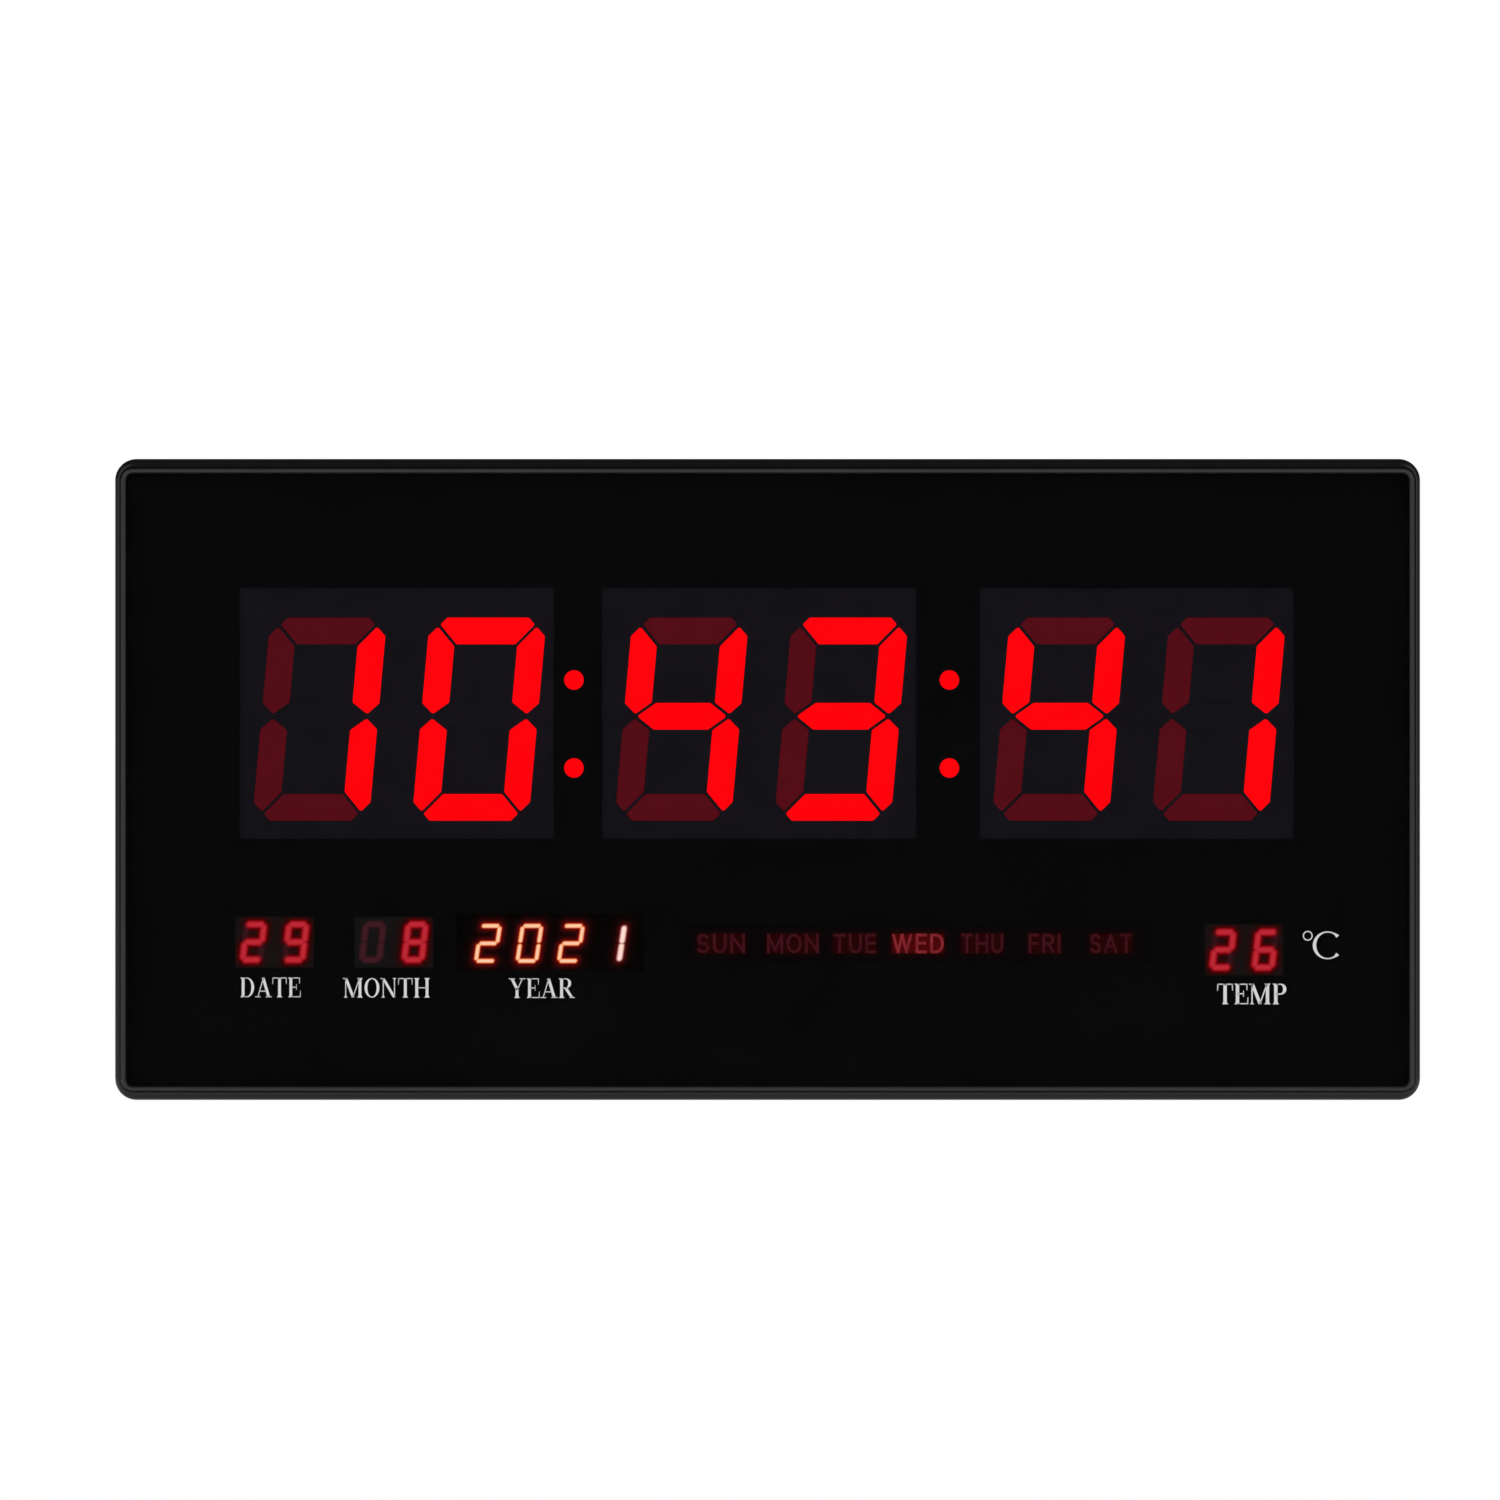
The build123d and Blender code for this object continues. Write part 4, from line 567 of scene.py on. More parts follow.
def straight(start, end, width, last_width=None):
    """A straight stroke between two points, as its path and half widths."""
    widths = (width, width if last_width is None else last_width)
    return np.array([start, end], float), np.array(widths) / 2


def level(rise, left, right, width=HAIR):
    """A level stroke."""
    return straight((left, rise), (right, rise), width)


def ring_path(centre, radii, first, last, count=25):
    """Points along an ellipse between two angles in degrees."""
    turn = np.radians(np.linspace(first, last, count))
    return np.array(centre) + np.array(radii) * np.stack([np.cos(turn), np.sin(turn)], axis=1)


def curved(centre, radii, first, last, thin, thick, count=33):
    """A stroke along an ellipse: as thick as asked where it runs upright and thin where it runs level."""
    path = ring_path(centre, radii, first, last, count)
    upright = np.cos(np.radians(np.linspace(first, last, count))) ** 2
    return path, (thin + (thick - thin) * upright) / 2


def stem(x, width, head=1.0, foot_serif=True, head_serif=True, count=33):
    """An upright stroke whose half width flares, by the square of the nearness, into a serif at each end."""
    rise = head * (1 - np.cos(np.linspace(0, math.pi, count))) / 2
    below = rise if foot_serif else np.full_like(rise, np.inf)
    above = head - rise if head_serif else np.full_like(rise, np.inf)
    near = np.clip(1 - np.minimum(below, above) / SERIF_RISE, 0, 1)
    return np.stack([np.full_like(rise, x), rise], axis=1), width / 2 + SERIF_REACH * near**2


def serif_bowl(x, middle, wide, high):
    """Strokes of a bowl on the main stem: half an ellipse between two level hairlines."""
    rise = high - HAIR / 2
    bend = curved((x, middle), (wide, rise), 90, -90, HAIR, BOLD)
    return [level(middle + rise, STEM, x), bend, level(middle - rise, STEM, x)]


def joined(*paths, least=1e-6):
    """Paths laid end to end, without the points that they share."""
    points = np.concatenate([np.asarray(path, float) for path in paths])
    step = np.linalg.norm(np.diff(points, axis=0), axis=1)
    return points[np.concatenate([[True], step > least])]


def plain_bowl(x, middle, wide, high):
    """Path of a bowl on the letter's left side: out, round half an ellipse and back."""
    bend = ring_path((x, middle), (wide, high), 90, -90)
    return joined([(0, middle + high)], bend, [(0, middle - high)])


# Plain capitals for the weekdays and the button marks: width as a share of the height, and the
# stroke paths as shares of the letter's box
POST = [(0, 0), (0, 1)]
BENDS = (ring_path((0.5, 0.75), (0.46, 0.25), 28, 270), ring_path((0.5, 0.25), (0.5, 0.25), 90, -152))
PLAIN_LETTERS = {
    "A": (0.74, [[(0, 0), (0.5, 1)], [(0.5, 1), (1, 0)], [(0.2, 0.34), (0.8, 0.34)]]),
    "D": (0.70, [POST, plain_bowl(0.4, 0.5, 0.6, 0.5)]),
    "E": (0.58, [POST, [(0, 1), (1, 1)], [(0, 0.52), (0.9, 0.52)], [(0, 0), (1, 0)]]),
    "F": (0.55, [POST, [(0, 1), (1, 1)], [(0, 0.5), (0.9, 0.5)]]),
    "H": (0.70, [POST, [(1, 0), (1, 1)], [(0, 0.51), (1, 0.51)]]),
    "I": (0.13, [[(0.5, 0), (0.5, 1)]]),
    "L": (0.55, [POST, [(0, 0), (1, 0)]]),
    "M": (0.84, [POST, [(0, 1), (0.5, 0.1)], [(0.5, 0.1), (1, 1)], [(1, 1), (1, 0)]]),
    "N": (0.72, [POST, [(0, 1), (1, 0)], [(1, 0), (1, 1)]]),
    "O": (0.80, [ring_path((0.5, 0.5), (0.5, 0.5), 0, 360, count=49)]),
    "P": (0.60, [POST, plain_bowl(0.55, 0.73, 0.45, 0.27)]),
    "R": (0.64, [POST, plain_bowl(0.55, 0.74, 0.42, 0.26), [(0.5, 0.48), (1, 0)]]),
    "S": (0.60, [joined(*BENDS)]),
    "T": (0.64, [[(0.5, 0), (0.5, 1)], [(0, 1), (1, 1)]]),
    "U": (0.68, [joined([(0, 1)], ring_path((0.5, 0.36), (0.5, 0.36), 180, 360), [(1, 1)])]),
    "W": (1.04, [[(0, 1), (0.26, 0)], [(0.26, 0), (0.5, 1)], [(0.5, 1), (0.74, 0)], [(0.74, 0), (1, 1)]]),
}
PLAIN_SPACE = 0.17

# Bold capitals with serifs for the words on the panel: width and strokes, as shares of the height. Top and
# foot are where thin level strokes run, and cap and sole where slabs do
TOP = 1 - HAIR / 2
FOOT = HAIR / 2
CAP = 1 - SLAB / 2
SOLE = SLAB / 2
SERIF_SPACE = 0.03
SERIF_WIDTHS = dict(
    A=0.84, D=0.77, E=0.69, H=0.88, M=1.04, N=0.86, O=0.80, P=0.69, R=0.84, T=0.74, Y=0.82
)
MAIN_STEM = stem(STEM, BOLD)
SERIF_STROKES = {
    "A": [
        straight((0.13, 0.0), (0.42, 1.0), HAIR),
        straight((0.40, 1.0), (0.69, 0.0), BOLD),
        level(0.31, 0.2, 0.58),
        level(SOLE, 0.0, 0.27, SLAB),
        level(SOLE, 0.54, 0.84, SLAB),
    ],
    "D": [MAIN_STEM, *serif_bowl(0.36, 0.5, 0.31, 0.5)],
    "E": [
        MAIN_STEM,
        level(TOP, STEM, 0.64),
        straight((0.62, 1.0), (0.62, 0.68), HAIR, TICK),
        level(0.51, STEM, 0.46),
        straight((0.46, 0.66), (0.46, 0.36), HAIR / 2),
        level(FOOT, STEM, 0.67),
        straight((0.65, 0.0), (0.67, 0.34), HAIR, TICK),
    ],
    "H": [MAIN_STEM, stem(0.70, BOLD), level(0.5, STEM, 0.70)],
    "M": [
        stem(0.14, HAIR, head_serif=False),
        straight((0.15, 1.0), (0.52, 0.0), BOLD),
        straight((0.50, 0.0), (0.84, 1.0), HAIR),
        stem(0.86, BOLD),
        level(CAP, 0.0, 0.22, SLAB),
    ],
    "N": [
        stem(0.14, HAIR, head_serif=False),
        straight((0.14, 1.0), (0.70, 0.0), BOLD),
        stem(0.71, HAIR, foot_serif=False),
        level(CAP, 0.0, 0.20, SLAB),
    ],
    "O": [curved((0.40, 0.5), (0.305, 0.5 - FOOT), 0, 360, HAIR, BOLD, count=65)],
    "P": [MAIN_STEM, *serif_bowl(0.38, 0.735, 0.215, 0.265)],
    "R": [
        MAIN_STEM,
        *serif_bowl(0.38, 0.745, 0.2, 0.255),
        straight((0.38, 0.52), (0.69, 0.0), BOLD),
        level(SOLE, 0.58, 0.84, SLAB),
    ],
    "T": [
        stem(0.37, BOLD, head_serif=False),
        level(TOP, 0.0, 0.74),
        straight((0.035, 1.0), (0.02, 0.66), HAIR, TICK),
        straight((0.705, 1.0), (0.72, 0.66), HAIR, TICK),
    ],
    "Y": [
        straight((0.15, 1.0), (0.43, 0.42), BOLD),
        straight((0.68, 1.0), (0.43, 0.42), HAIR),
        stem(0.41, BOLD, head=0.5, head_serif=False),
        level(CAP, 0.0, 0.31, SLAB),
        level(CAP, 0.54, 0.82, SLAB),
    ],
}


def plate(path, half_widths, closed=False):
    """Carry a flat rectangle along a path on the dial. At each point its edges stand half a width to
    the left and right of the way the path runs; the front lies at 1 and the back at 0, for the caller
    to place. The rows of four corners are joined by quads, with a cap at each end unless closed."""
    way = np.gradient(path, axis=0)
    if closed:
        way[0] = way[-1] = way[0] + way[-1]
    way /= np.linalg.norm(way, axis=1, keepdims=True)
    side = np.stack([-way[:, 1], way[:, 0]], axis=1) * half_widths[:, None]
    left, right = path + side, path - side
    flat = np.stack([left, right, right, left], axis=1)
    front = np.broadcast_to(np.array([1.0, 1.0, 0.0, 0.0]), flat.shape[:2])
    points = np.concatenate([flat, front[..., None]], axis=2)
    index = np.arange(len(points) * 4).reshape(-1, 4)
    if closed:
        points, index[-1] = points[:-1], index[0]
    turned = np.roll(index, -1, axis=1)
    quads = np.stack([index[:-1], turned[:-1], turned[1:], index[1:]], axis=2).reshape(-1, 4)
    if not closed:
        quads = np.concatenate([quads, [index[0, ::-1]], [index[-1]]])
    return points.reshape(-1, 3), quads


def square_ended(path, reach):
    """A path run on past both of its ends by a given length."""
    way = path[[0, -1]] - path[[1, -2]]
    start, end = path[[0, -1]] + way / np.linalg.norm(way, axis=1, keepdims=True) * reach
    return np.concatenate([[start], path[1:-1], [end]])


def is_ring(path):
    """True for a path that ends where it starts."""
    return np.allclose(path[0], path[-1])


def cut_plate(path, half_widths, cap):
    """Plate of one stroke, cut level at the letter's foot and head."""
    points, quads = plate(path, half_widths, is_ring(path))
    points[:, 1] = np.clip(points[:, 1], 0, cap)
    return points, quads


def plain_plates(letter, cap, stroke):
    """Width and plates of one plain capital: its paths fill the letter's box less half a stroke all round."""
    ratio, paths = PLAIN_LETTERS[letter]
    width = max(ratio * cap, stroke)
    room = np.array([width - stroke, cap - stroke])
    laid = [np.asarray(path, float) * room + stroke / 2 for path in paths]
    laid = [path if is_ring(path) else square_ended(path, stroke / 2) for path in laid]
    return width, [cut_plate(path, np.full(len(path), stroke / 2), cap) for path in laid]


def serif_plates(letter, cap, bolder):
    """Width and plates of one bold capital with serifs."""
    strokes = SERIF_STROKES[letter]
    plates = [cut_plate(path * cap, half * cap + bolder / 2, cap) for path, half in strokes]
    return SERIF_WIDTHS[letter] * cap, plates


def set_word(letters, space):
    """Letters side by side: each one's plates are moved right past those before it."""
    pen, points, quads, count = 0.0, [], [], 0
    for width, plates in letters:
        for corners, faces in plates:
            points.append(corners + (pen, 0.0, 0.0))
            quads.append(faces + count)
            count += len(corners)
        pen += width + space
    return np.concatenate(points), np.concatenate(quads), pen - space


def fit_word(points, natural, left, right, foot):
    """Stretch a word sideways to lie between two places, with its foot on a line."""
    return points * ((right - left) / natural, 1.0, 1.0) + (left, foot, 0.0)


def add_object(name, data):
    """A new object in the scene."""
    thing = bpy.data.objects.new(name, data)
    bpy.context.scene.collection.objects.link(thing)
    return thing


def add_mesh(name, points, faces, finish):
    """A new mesh object with a finish."""
    mesh = bpy.data.meshes.new(name)
    mesh.from_pydata(points.tolist(), [], faces.tolist())
    mesh.update()
    thing = add_object(name, mesh)
    dress(thing, finish)
    return thing


def make_piece(name, points, faces, finish, body=BODY):
    """A mesh piece in the clock's frame that rides on a body."""
    piece = add_mesh(name, points, faces, finish)
    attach(piece, body)
    return piece


def printed(points, ground, height, side=1):
    """Dial places to the clock's frame, printed on a ground at a given depth towards the viewer, or for side
    -1, with the places as seen from behind, towards the wall."""
    across, up, front = points.T
    return np.stack([side * across, -(ground + side * front * height), up], axis=1) * MM


# Words on the panel: left, right, foot, capital height, and how much bolder than usual
PANEL_WORDS = {
    "DATE": (-184.4, -163.0, -76.05, 6.9, 0.0),
    "MONTH": (-148.3, -117.7, -76.15, 6.8, 0.0),
    "YEAR": (-90.4, -67.3, -76.3, 6.85, 0.0),
    "TEMP": (157.0, 181.3, -78.5, 7.2, 0.1),
}
# Degree sign and letter of the unit
DEGREE_MIDDLE = (188.64, -54.58)
DEGREE_RADII = (1.52, 1.52)
DEGREE_STROKE = 0.38
UNIT_MIDDLE = (195.6, -57.9)
UNIT_RADII = (4.6, 4.65)
UNIT_OPEN = 41.0
UNIT_THIN = 0.42
UNIT_THICK = 1.2
UNIT_FLARE = 0.9
# The letter swells between two shares of its length from either end, and flares within one more share
SWELL_START_SHARE = 0.12
SWELL_END_SHARE = 0.25
FLARE_SHARE = 0.1
FLARE_POWER = 1.5


def unit_strokes():
    """A degree ring, and an open crescent that is thickest at the left and flares at its two ends."""
    ring = curved(DEGREE_MIDDLE, DEGREE_RADII, 0, 360, DEGREE_STROKE, DEGREE_STROKE, count=49)
    path, half = curved(UNIT_MIDDLE, UNIT_RADII, UNIT_OPEN, 360 - UNIT_OPEN, UNIT_THIN, UNIT_THICK, count=65)
    along = np.linspace(0, 1, len(path))
    away = np.minimum(along, 1 - along)
    swell = np.clip((away - SWELL_START_SHARE) / (SWELL_END_SHARE - SWELL_START_SHARE), 0, 1)
    flare = np.clip(1 - away / FLARE_SHARE, 0, 1) ** FLARE_POWER
    return ring, (path, UNIT_THIN / 2 * (1 - swell) + half * swell + UNIT_FLARE / 2 * flare)


class CLOCK_OT_panel_words(bpy.types.Operator):
    """Print the white words and the degree unit on the panel"""

    bl_idname = "clock.panel_words"
    bl_label = "Print the panel words"

    def execute(self, context):
        height = context.scene.clock_words.print_height / MM
        ground = depth_of("front_panel")
        ink = moulded("word_ink", WORD_INK, context.scene.clock_finishes)
        for word, (left, right, foot, cap, bolder) in PANEL_WORDS.items():
            letters = [serif_plates(letter, cap, bolder) for letter in word]
            points, quads, natural = set_word(letters, SERIF_SPACE * cap)
            points = fit_word(points, natural, left, right, foot)
            make_piece(f"word_{word.lower()}", printed(points, ground, height), quads, ink)
        for name, (path, half) in zip(("degree_sign", "unit_letter"), unit_strokes()):
            points, quads = plate(path, half, is_ring(path))
            make_piece(name, printed(points, ground, height), quads, ink)
        return {"FINISHED"}


# Weekday words: left and right end of each, today's, their foot, and the glow of the others, which are unlit,
# so that their glow is painted light
WEEKDAYS = {
    "SUN": (-24.7, -7.9),
    "MON": (-0.2, 17.9),
    "TUE": (23.0, 38.0),
    "WED": (43.5, 61.6),
    "THU": (67.7, 82.4),
    "FRI": (91.2, 102.4),
    "SAT": (112.7, 127.4),
}
TODAY = "WED"
WEEKDAY_FOOT = -60.75
DIM_GLOW = 0.75


class CLOCK_OT_weekdays(bpy.types.Operator):
    """Set the weekday words on the light box's film, with today's lit"""

    bl_idname = "clock.weekdays"
    bl_label = "Set the weekday words"

    def execute(self, context):
        sizes, colours = context.scene.clock_words, context.scene.clock_finishes
        cap, stroke = sizes.weekday_cap / MM, sizes.weekday_stroke / MM
        glow = context.scene.clock_glow
        ground = depth_of("weekday_film") + (glow.gap + glow.thickness) / MM
        height = sizes.print_height / MM
        lift = through_panel(colours)
        # Painted light: the unlit words glow in place of the light falling on them
        dim = glowing("weekday_dim", colours.weekday, lift * DIM_GLOW, mottle=0.2, spots=300.0, base=0.25)
        lit = glowing("weekday_lit", colours.today, lift, mottle=0.3, spots=400.0, base=0.1)
        for word, (left, right) in WEEKDAYS.items():
            letters = [plain_plates(letter, cap, stroke) for letter in word]
            points, quads, natural = set_word(letters, PLAIN_SPACE * cap)
            points = fit_word(points, natural, left, right, WEEKDAY_FOOT)
            finish, slot = (lit, "lens_lit") if word == TODAY else (dim, "lens_dark")
            make_piece(f"weekday_{word.lower()}", printed(points, ground, height), quads, finish)
        return {"FINISHED"}


# Button marks: from a button's middle down to the foot of its mark, and from the wall plane to the floor
# of the button bay
MARK_DROP = 6.6
BAY_FLOOR = 2.2


class CLOCK_OT_button_marks(bpy.types.Operator):
    """Mark each rear button's use on the floor of the button bay"""

    bl_idname = "clock.button_marks"
    bl_label = "Mark the buttons"

    def execute(self, context):
        sizes = context.scene.clock_words
        cap, stroke, height = sizes.mark_cap / MM, sizes.mark_stroke / MM, sizes.print_height / MM
        ink = moulded("mark_ink", MARK_INK, context.scene.clock_finishes)
        for name in ("set", "up", "down", "alarm"):
            low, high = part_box(f"{name}_button")
            middle = (low + high) / 2 / MM
            letters = [plain_plates(letter, cap, stroke) for letter in name.upper()]
            points, quads, natural = set_word(letters, PLAIN_SPACE * cap)
            left = -middle.x - natural / 2
            points = fit_word(points, natural, left, left + natural, middle.z - MARK_DROP)
            make_piece(f"mark_{name}", printed(points, BAY_FLOOR, height, -1), quads, ink)
        return {"FINISHED"}


# Glow of the small displays

# Segments by letter, as ends in half widths and half heights of the stroke's path
SEGMENT_ENDS = {
    "a": ((-1, 1), (1, 1)),
    "b": ((1, 1), (1, 0)),
    "c": ((1, 0), (1, -1)),
    "d": ((-1, -1), (1, -1)),
    "e": ((-1, 0), (-1, -1)),
    "f": ((-1, 1), (-1, 0)),
    "g": ((-1, 0), (1, 0)),
}
# Unlit segments that still show faintly: all but the middle bar
UPRIGHTS_AND_ENDS = "abcdef"
# Digits' width, height, stroke, slant in degrees and pitch, how far the lit stroke stops short of a
# corner as a share of the stroke, and the width of its soft edge
Digit = namedtuple("Digit", "width height stroke slant pitch short edge")
PAIR_DIGITS = Digit(8.1, 14.4, 2.05, 6.5, 14.8, 0.5, 1.6)
YEAR_DIGITS = Digit(7.9, 13.6, 1.35, 8.6, 14.5, 0.68, 1.0)
# Lit segments of each digit from left to right
READINGS = {
    "date": ("abdeg", "abcdfg"),
    "month": ("", "abcdefg"),
    "year": ("abdeg", "abcdef", "abdeg", "bc"),
    "temperature": ("abdeg", "acdefg"),
}


def segment_distance(x, z, letter, digit):
    """Distance from each place to one segment's edge, negative inside. A segment is all places within
    half a stroke of its path, and the path stops short of the digit's corners by a share of the stroke."""
    stroke = digit.stroke
    half = np.array([digit.width - stroke, digit.height - stroke]) / 2
    start, end = (np.array(point) * half for point in SEGMENT_ENDS[letter])
    way = (end - start) / np.linalg.norm(end - start)
    start, end = start + way * digit.short * stroke, end - way * digit.short * stroke
    run = np.clip((x - start[0]) * way[0] + (z - start[1]) * way[1], 0, np.dot(end - start, way))
    return np.hypot(x - start[0] - run * way[0], z - start[1] - run * way[1]) - stroke / 2


def nearest_segment(x, z, reading, digit, lit):
    """Distance to the nearest lit or unlit segment of a row of digits, with the slant taken out of x."""
    slope = math.tan(math.radians(digit.slant))
    best = np.full(np.broadcast(x, z).shape, np.inf)
    for place, letters in enumerate(reading):
        across = x - (place - (len(reading) - 1) / 2) * digit.pitch - z * slope
        shown = letters if lit else set(UPRIGHTS_AND_ENDS) - set(letters)
        for letter in shown:
            best = np.minimum(best, segment_distance(across, z, letter, digit))
    return best


def soft_share(distance, edge):
    """1 inside, 0 outside, with a smooth step across an edge of a given width."""
    inside = np.clip(0.5 - distance / edge, 0, 1)
    return inside * inside * (3 - 2 * inside)


def digit_shine(x, z, reading, digit, reach, halo):
    """Brightness over a display: full inside a lit segment with a soft edge, and a halo of painted light
    spill that falls off exponentially outside it."""
    lit = nearest_segment(x, z, reading, digit, True)
    core = soft_share(lit, digit.edge)
    return core + (1 - core) * halo * np.exp(-np.maximum(lit, 0) / reach)


def film_places(node, pitch):
    """Grid over a display's face, one pitch between its lines."""
    low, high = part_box(node)
    across = np.linspace(low.x, high.x, round((high.x - low.x) / pitch) + 1)
    up = np.linspace(low.z, high.z, round((high.z - low.z) / pitch) + 1)
    return np.meshgrid(across, up)


def from_middle(places):
    """Grid places across and up in millimetres from the grid's middle."""
    return [(part - (part.min() + part.max()) / 2) / MM for part in places]


def lay_film(name, node, places, glow, shine, tint, finish):
    """A thin flat sheet over a display's face, with its shine and tint on each point of the grid."""
    x, z = places
    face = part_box(node)[0].y - glow.gap - glow.thickness
    points = np.stack([x, np.full_like(x, face), z], axis=2).reshape(-1, 3)
    index = np.arange(x.size).reshape(x.shape)
    corners = [index[:-1, :-1], index[:-1, 1:], index[1:, 1:], index[1:, :-1]]
    quads = np.stack(corners, axis=2).reshape(-1, 4)
    piece = make_piece(name, points, quads, finish)
    for key, values in (("shine", shine), ("tint", tint)):
        layer = piece.data.attributes.new(key, "FLOAT", "POINT")
        layer.data.foreach_set("value", values.ravel().astype(np.float32))
    wall = piece.modifiers.new("thickness", "SOLIDIFY")
    wall.thickness = glow.thickness
    wall.offset = -1.0


# Light of the films by brightness, given as emission. But for the lit segments themselves, it is painted
# light: the display's face as lit, and the light spill round lit segments and words
RED_STOPS = [
    (0.0, tone(17, 16, 16)),
    (0.1, tone(27, 11, 10)),
    (0.22, tone(42, 3, 4)),
    (0.42, tone(80, 1, 2)),
    (0.64, tone(122, 1, 7)),
    (0.86, tone(164, 20, 34)),
    (1.0, tone(190, 41, 52)),
]
YEAR_STOPS = [
    (0.0, tone(0, 0, 0)),
    (0.1, tone(20, 1, 1)),
    (0.3, tone(74, 4, 4)),
    (0.5, tone(136, 18, 8)),
    (0.66, tone(206, 76, 30)),
    (0.84, tone(250, 164, 104)),
    (1.0, tone(255, 206, 172)),
]
WEEKDAY_STOPS = [
    (0.0, tone(3, 2, 3)),
    (0.2, tone(18, 1, 2)),
    (0.5, tone(36, 1, 2)),
    (1.0, tone(72, 3, 5)),
]
# Tints: unlit red segments, whose faint glow is painted light, the paler last digit of the year, and the
# weekdays' haze, which has none
GHOST = tone(64, 25, 33)
PALE_DIGIT = tone(255, 228, 224)
NO_TINT = (0.0, 0.0, 0.0)
# Brightness of the halo at a lit segment's edge: a painted light spill over the display's face
RED_HALO = 0.64
YEAR_HALO = 0.52
# How plain the unlit segments are, in painted light
GHOST_SHARES = {"date": 0.5, "month": 1.0, "temperature": 0.4}
# The year's last digit: share of its tint, and how much bolder it is; and how low the year stands
PALE_SHARE = 0.7
PALE_SWELL = 0.18
YEAR_DROP = 0.45
# Brightness of the haze, a painted light spill, at today's word and at the others, and how far inside their
# ends it starts to fade
TODAY_HAZE = 1.0
OTHER_HAZE = 0.46
HAZE_INSET = 0.5


class CLOCK_OT_glow_films(bpy.types.Operator):
    """Lay a glowing film over the face of each red display, which paints the face as lit, the light spill
    round lit segments and the faint unlit segments
    """

    bl_idname = "clock.glow_films"
    bl_label = "Light the red displays"

    def execute(self, context):
        glow = context.scene.clock_glow
        red = film("red_glow", RED_STOPS, GHOST, through_panel(context.scene.clock_finishes))
        for name, ghost in GHOST_SHARES.items():
            node = f"{name}_housing"
            places = film_places(node, glow.pitch)
            x, z = from_middle(places)
            shine = digit_shine(x, z, READINGS[name], PAIR_DIGITS, glow.red_reach / MM, RED_HALO)
            dark = nearest_segment(x, z, READINGS[name], PAIR_DIGITS, False)
            tint = ghost * soft_share(dark, PAIR_DIGITS.edge)
            lay_film(f"{name}_glow", node, places, glow, shine, tint, red)
        return {"FINISHED"}


class CLOCK_OT_year_film(bpy.types.Operator):
    """Lay a glowing film over the face of the year display, with its last digit paler and bolder and a
    painted light spill round its lit segments
    """

    bl_idname = "clock.year_film"
    bl_label = "Light the year display"

    def execute(self, context):
        glow = context.scene.clock_glow
        warm = film("year_glow", YEAR_STOPS, PALE_DIGIT, through_panel(context.scene.clock_finishes))
        node, reading = "year_housing", READINGS["year"]
        places = film_places(node, glow.pitch)
        x, z = from_middle(places)
        z = z + YEAR_DROP
        shine = digit_shine(x, z, reading, YEAR_DIGITS, glow.year_reach / MM, YEAR_HALO)
        last = (*("" for _ in reading[:-1]), reading[-1])
        core = soft_share(nearest_segment(x, z, last, YEAR_DIGITS, True) - PALE_SWELL, YEAR_DIGITS.edge)
        shine, tint = np.maximum(shine, core), PALE_SHARE * core
        lay_film("year_glow", node, places, glow, shine, tint, warm)
        return {"FINISHED"}


class CLOCK_OT_weekday_haze(bpy.types.Operator):
    """Lay a film under the weekday words that glows faintly round each word: a painted light spill"""

    bl_idname = "clock.weekday_haze"
    bl_label = "Light the weekday words"

    def execute(self, context):
        glow = context.scene.clock_glow
        cap = context.scene.clock_words.weekday_cap / MM
        haze = film("weekday_haze", WEEKDAY_STOPS, NO_TINT, through_panel(context.scene.clock_finishes))
        places = film_places("weekday_film", 2 * glow.pitch)
        x, z = places[0] / MM, places[1] / MM
        middle = WEEKDAY_FOOT + cap / 2
        above = np.abs(z - middle) - cap / 2 + HAZE_INSET
        shine = np.zeros_like(x)
        for word, (left, right) in WEEKDAYS.items():
            beside = np.abs(x - (left + right) / 2) - (right - left) / 2 + HAZE_INSET
            away = np.hypot(np.maximum(beside, 0), np.maximum(above, 0))
            full = TODAY_HAZE if word == TODAY else OTHER_HAZE
            shine = np.maximum(shine, full * np.exp(-away / (glow.weekday_reach / MM)))
        lay_film("weekday_glow", "weekday_film", places, glow, shine, np.zeros_like(x), haze)
        return {"FINISHED"}


# Stage

# Floor, in metres: half its side, where it starts to fade into the backdrop and where it has. Then its
# roughness, and the scale and tones of its mottle
FLOOR_HALF = 3.0
FLOOR_NEAR = 0.3
FLOOR_FAR = 0.85
FLOOR_ROUGH = 0.8
FLOOR_SPOTS = 3.0
FLOOR_TONES = ((0.83, 0.83, 0.83), (0.86, 0.86, 0.86))
# Room that mirror rays see: how their way's y and z set the level of its side behind the camera and its top
BEHIND_MARKS = (-0.95, -0.5)
BEHIND_LEVELS = (0.02, 1.0)
TOP_MARKS = (-0.1, 0.3)
TOP_LEVELS = (0.38, 0.03)
# Soft boxes, in metres: size, and place of each
SOFT_BOX_SIZE = 2.4
SOFT_BOXES = {"left_soft_box": (-1.9, -1.7, 0.9), "right_soft_box": (1.9, -1.7, 0.9)}
# Camera: width of its sensor, farthest place that it sees in metres, and depth of the frame's widest line
SENSOR = 36.0
FARTHEST = 20.0
WIDEST_DEPTH = 26.5


def ray_shares(tree):
    """1 for mirror rays, and 1 for rays that see the backdrop, from the camera or through clear things."""
    path = add_node(tree, "LightPath").outputs
    seen = add_math(tree, "MAXIMUM", path["Is Camera Ray"], path["Is Transmission Ray"])
    return path["Is Glossy Ray"], seen


def mix_number(tree, share, first, second):
    """A number between two, each a value or a socket."""
    inputs = {"Factor": share, "A": first, "B": second}
    return add_node(tree, "Mix", inputs, data_type="FLOAT").outputs["Result"]


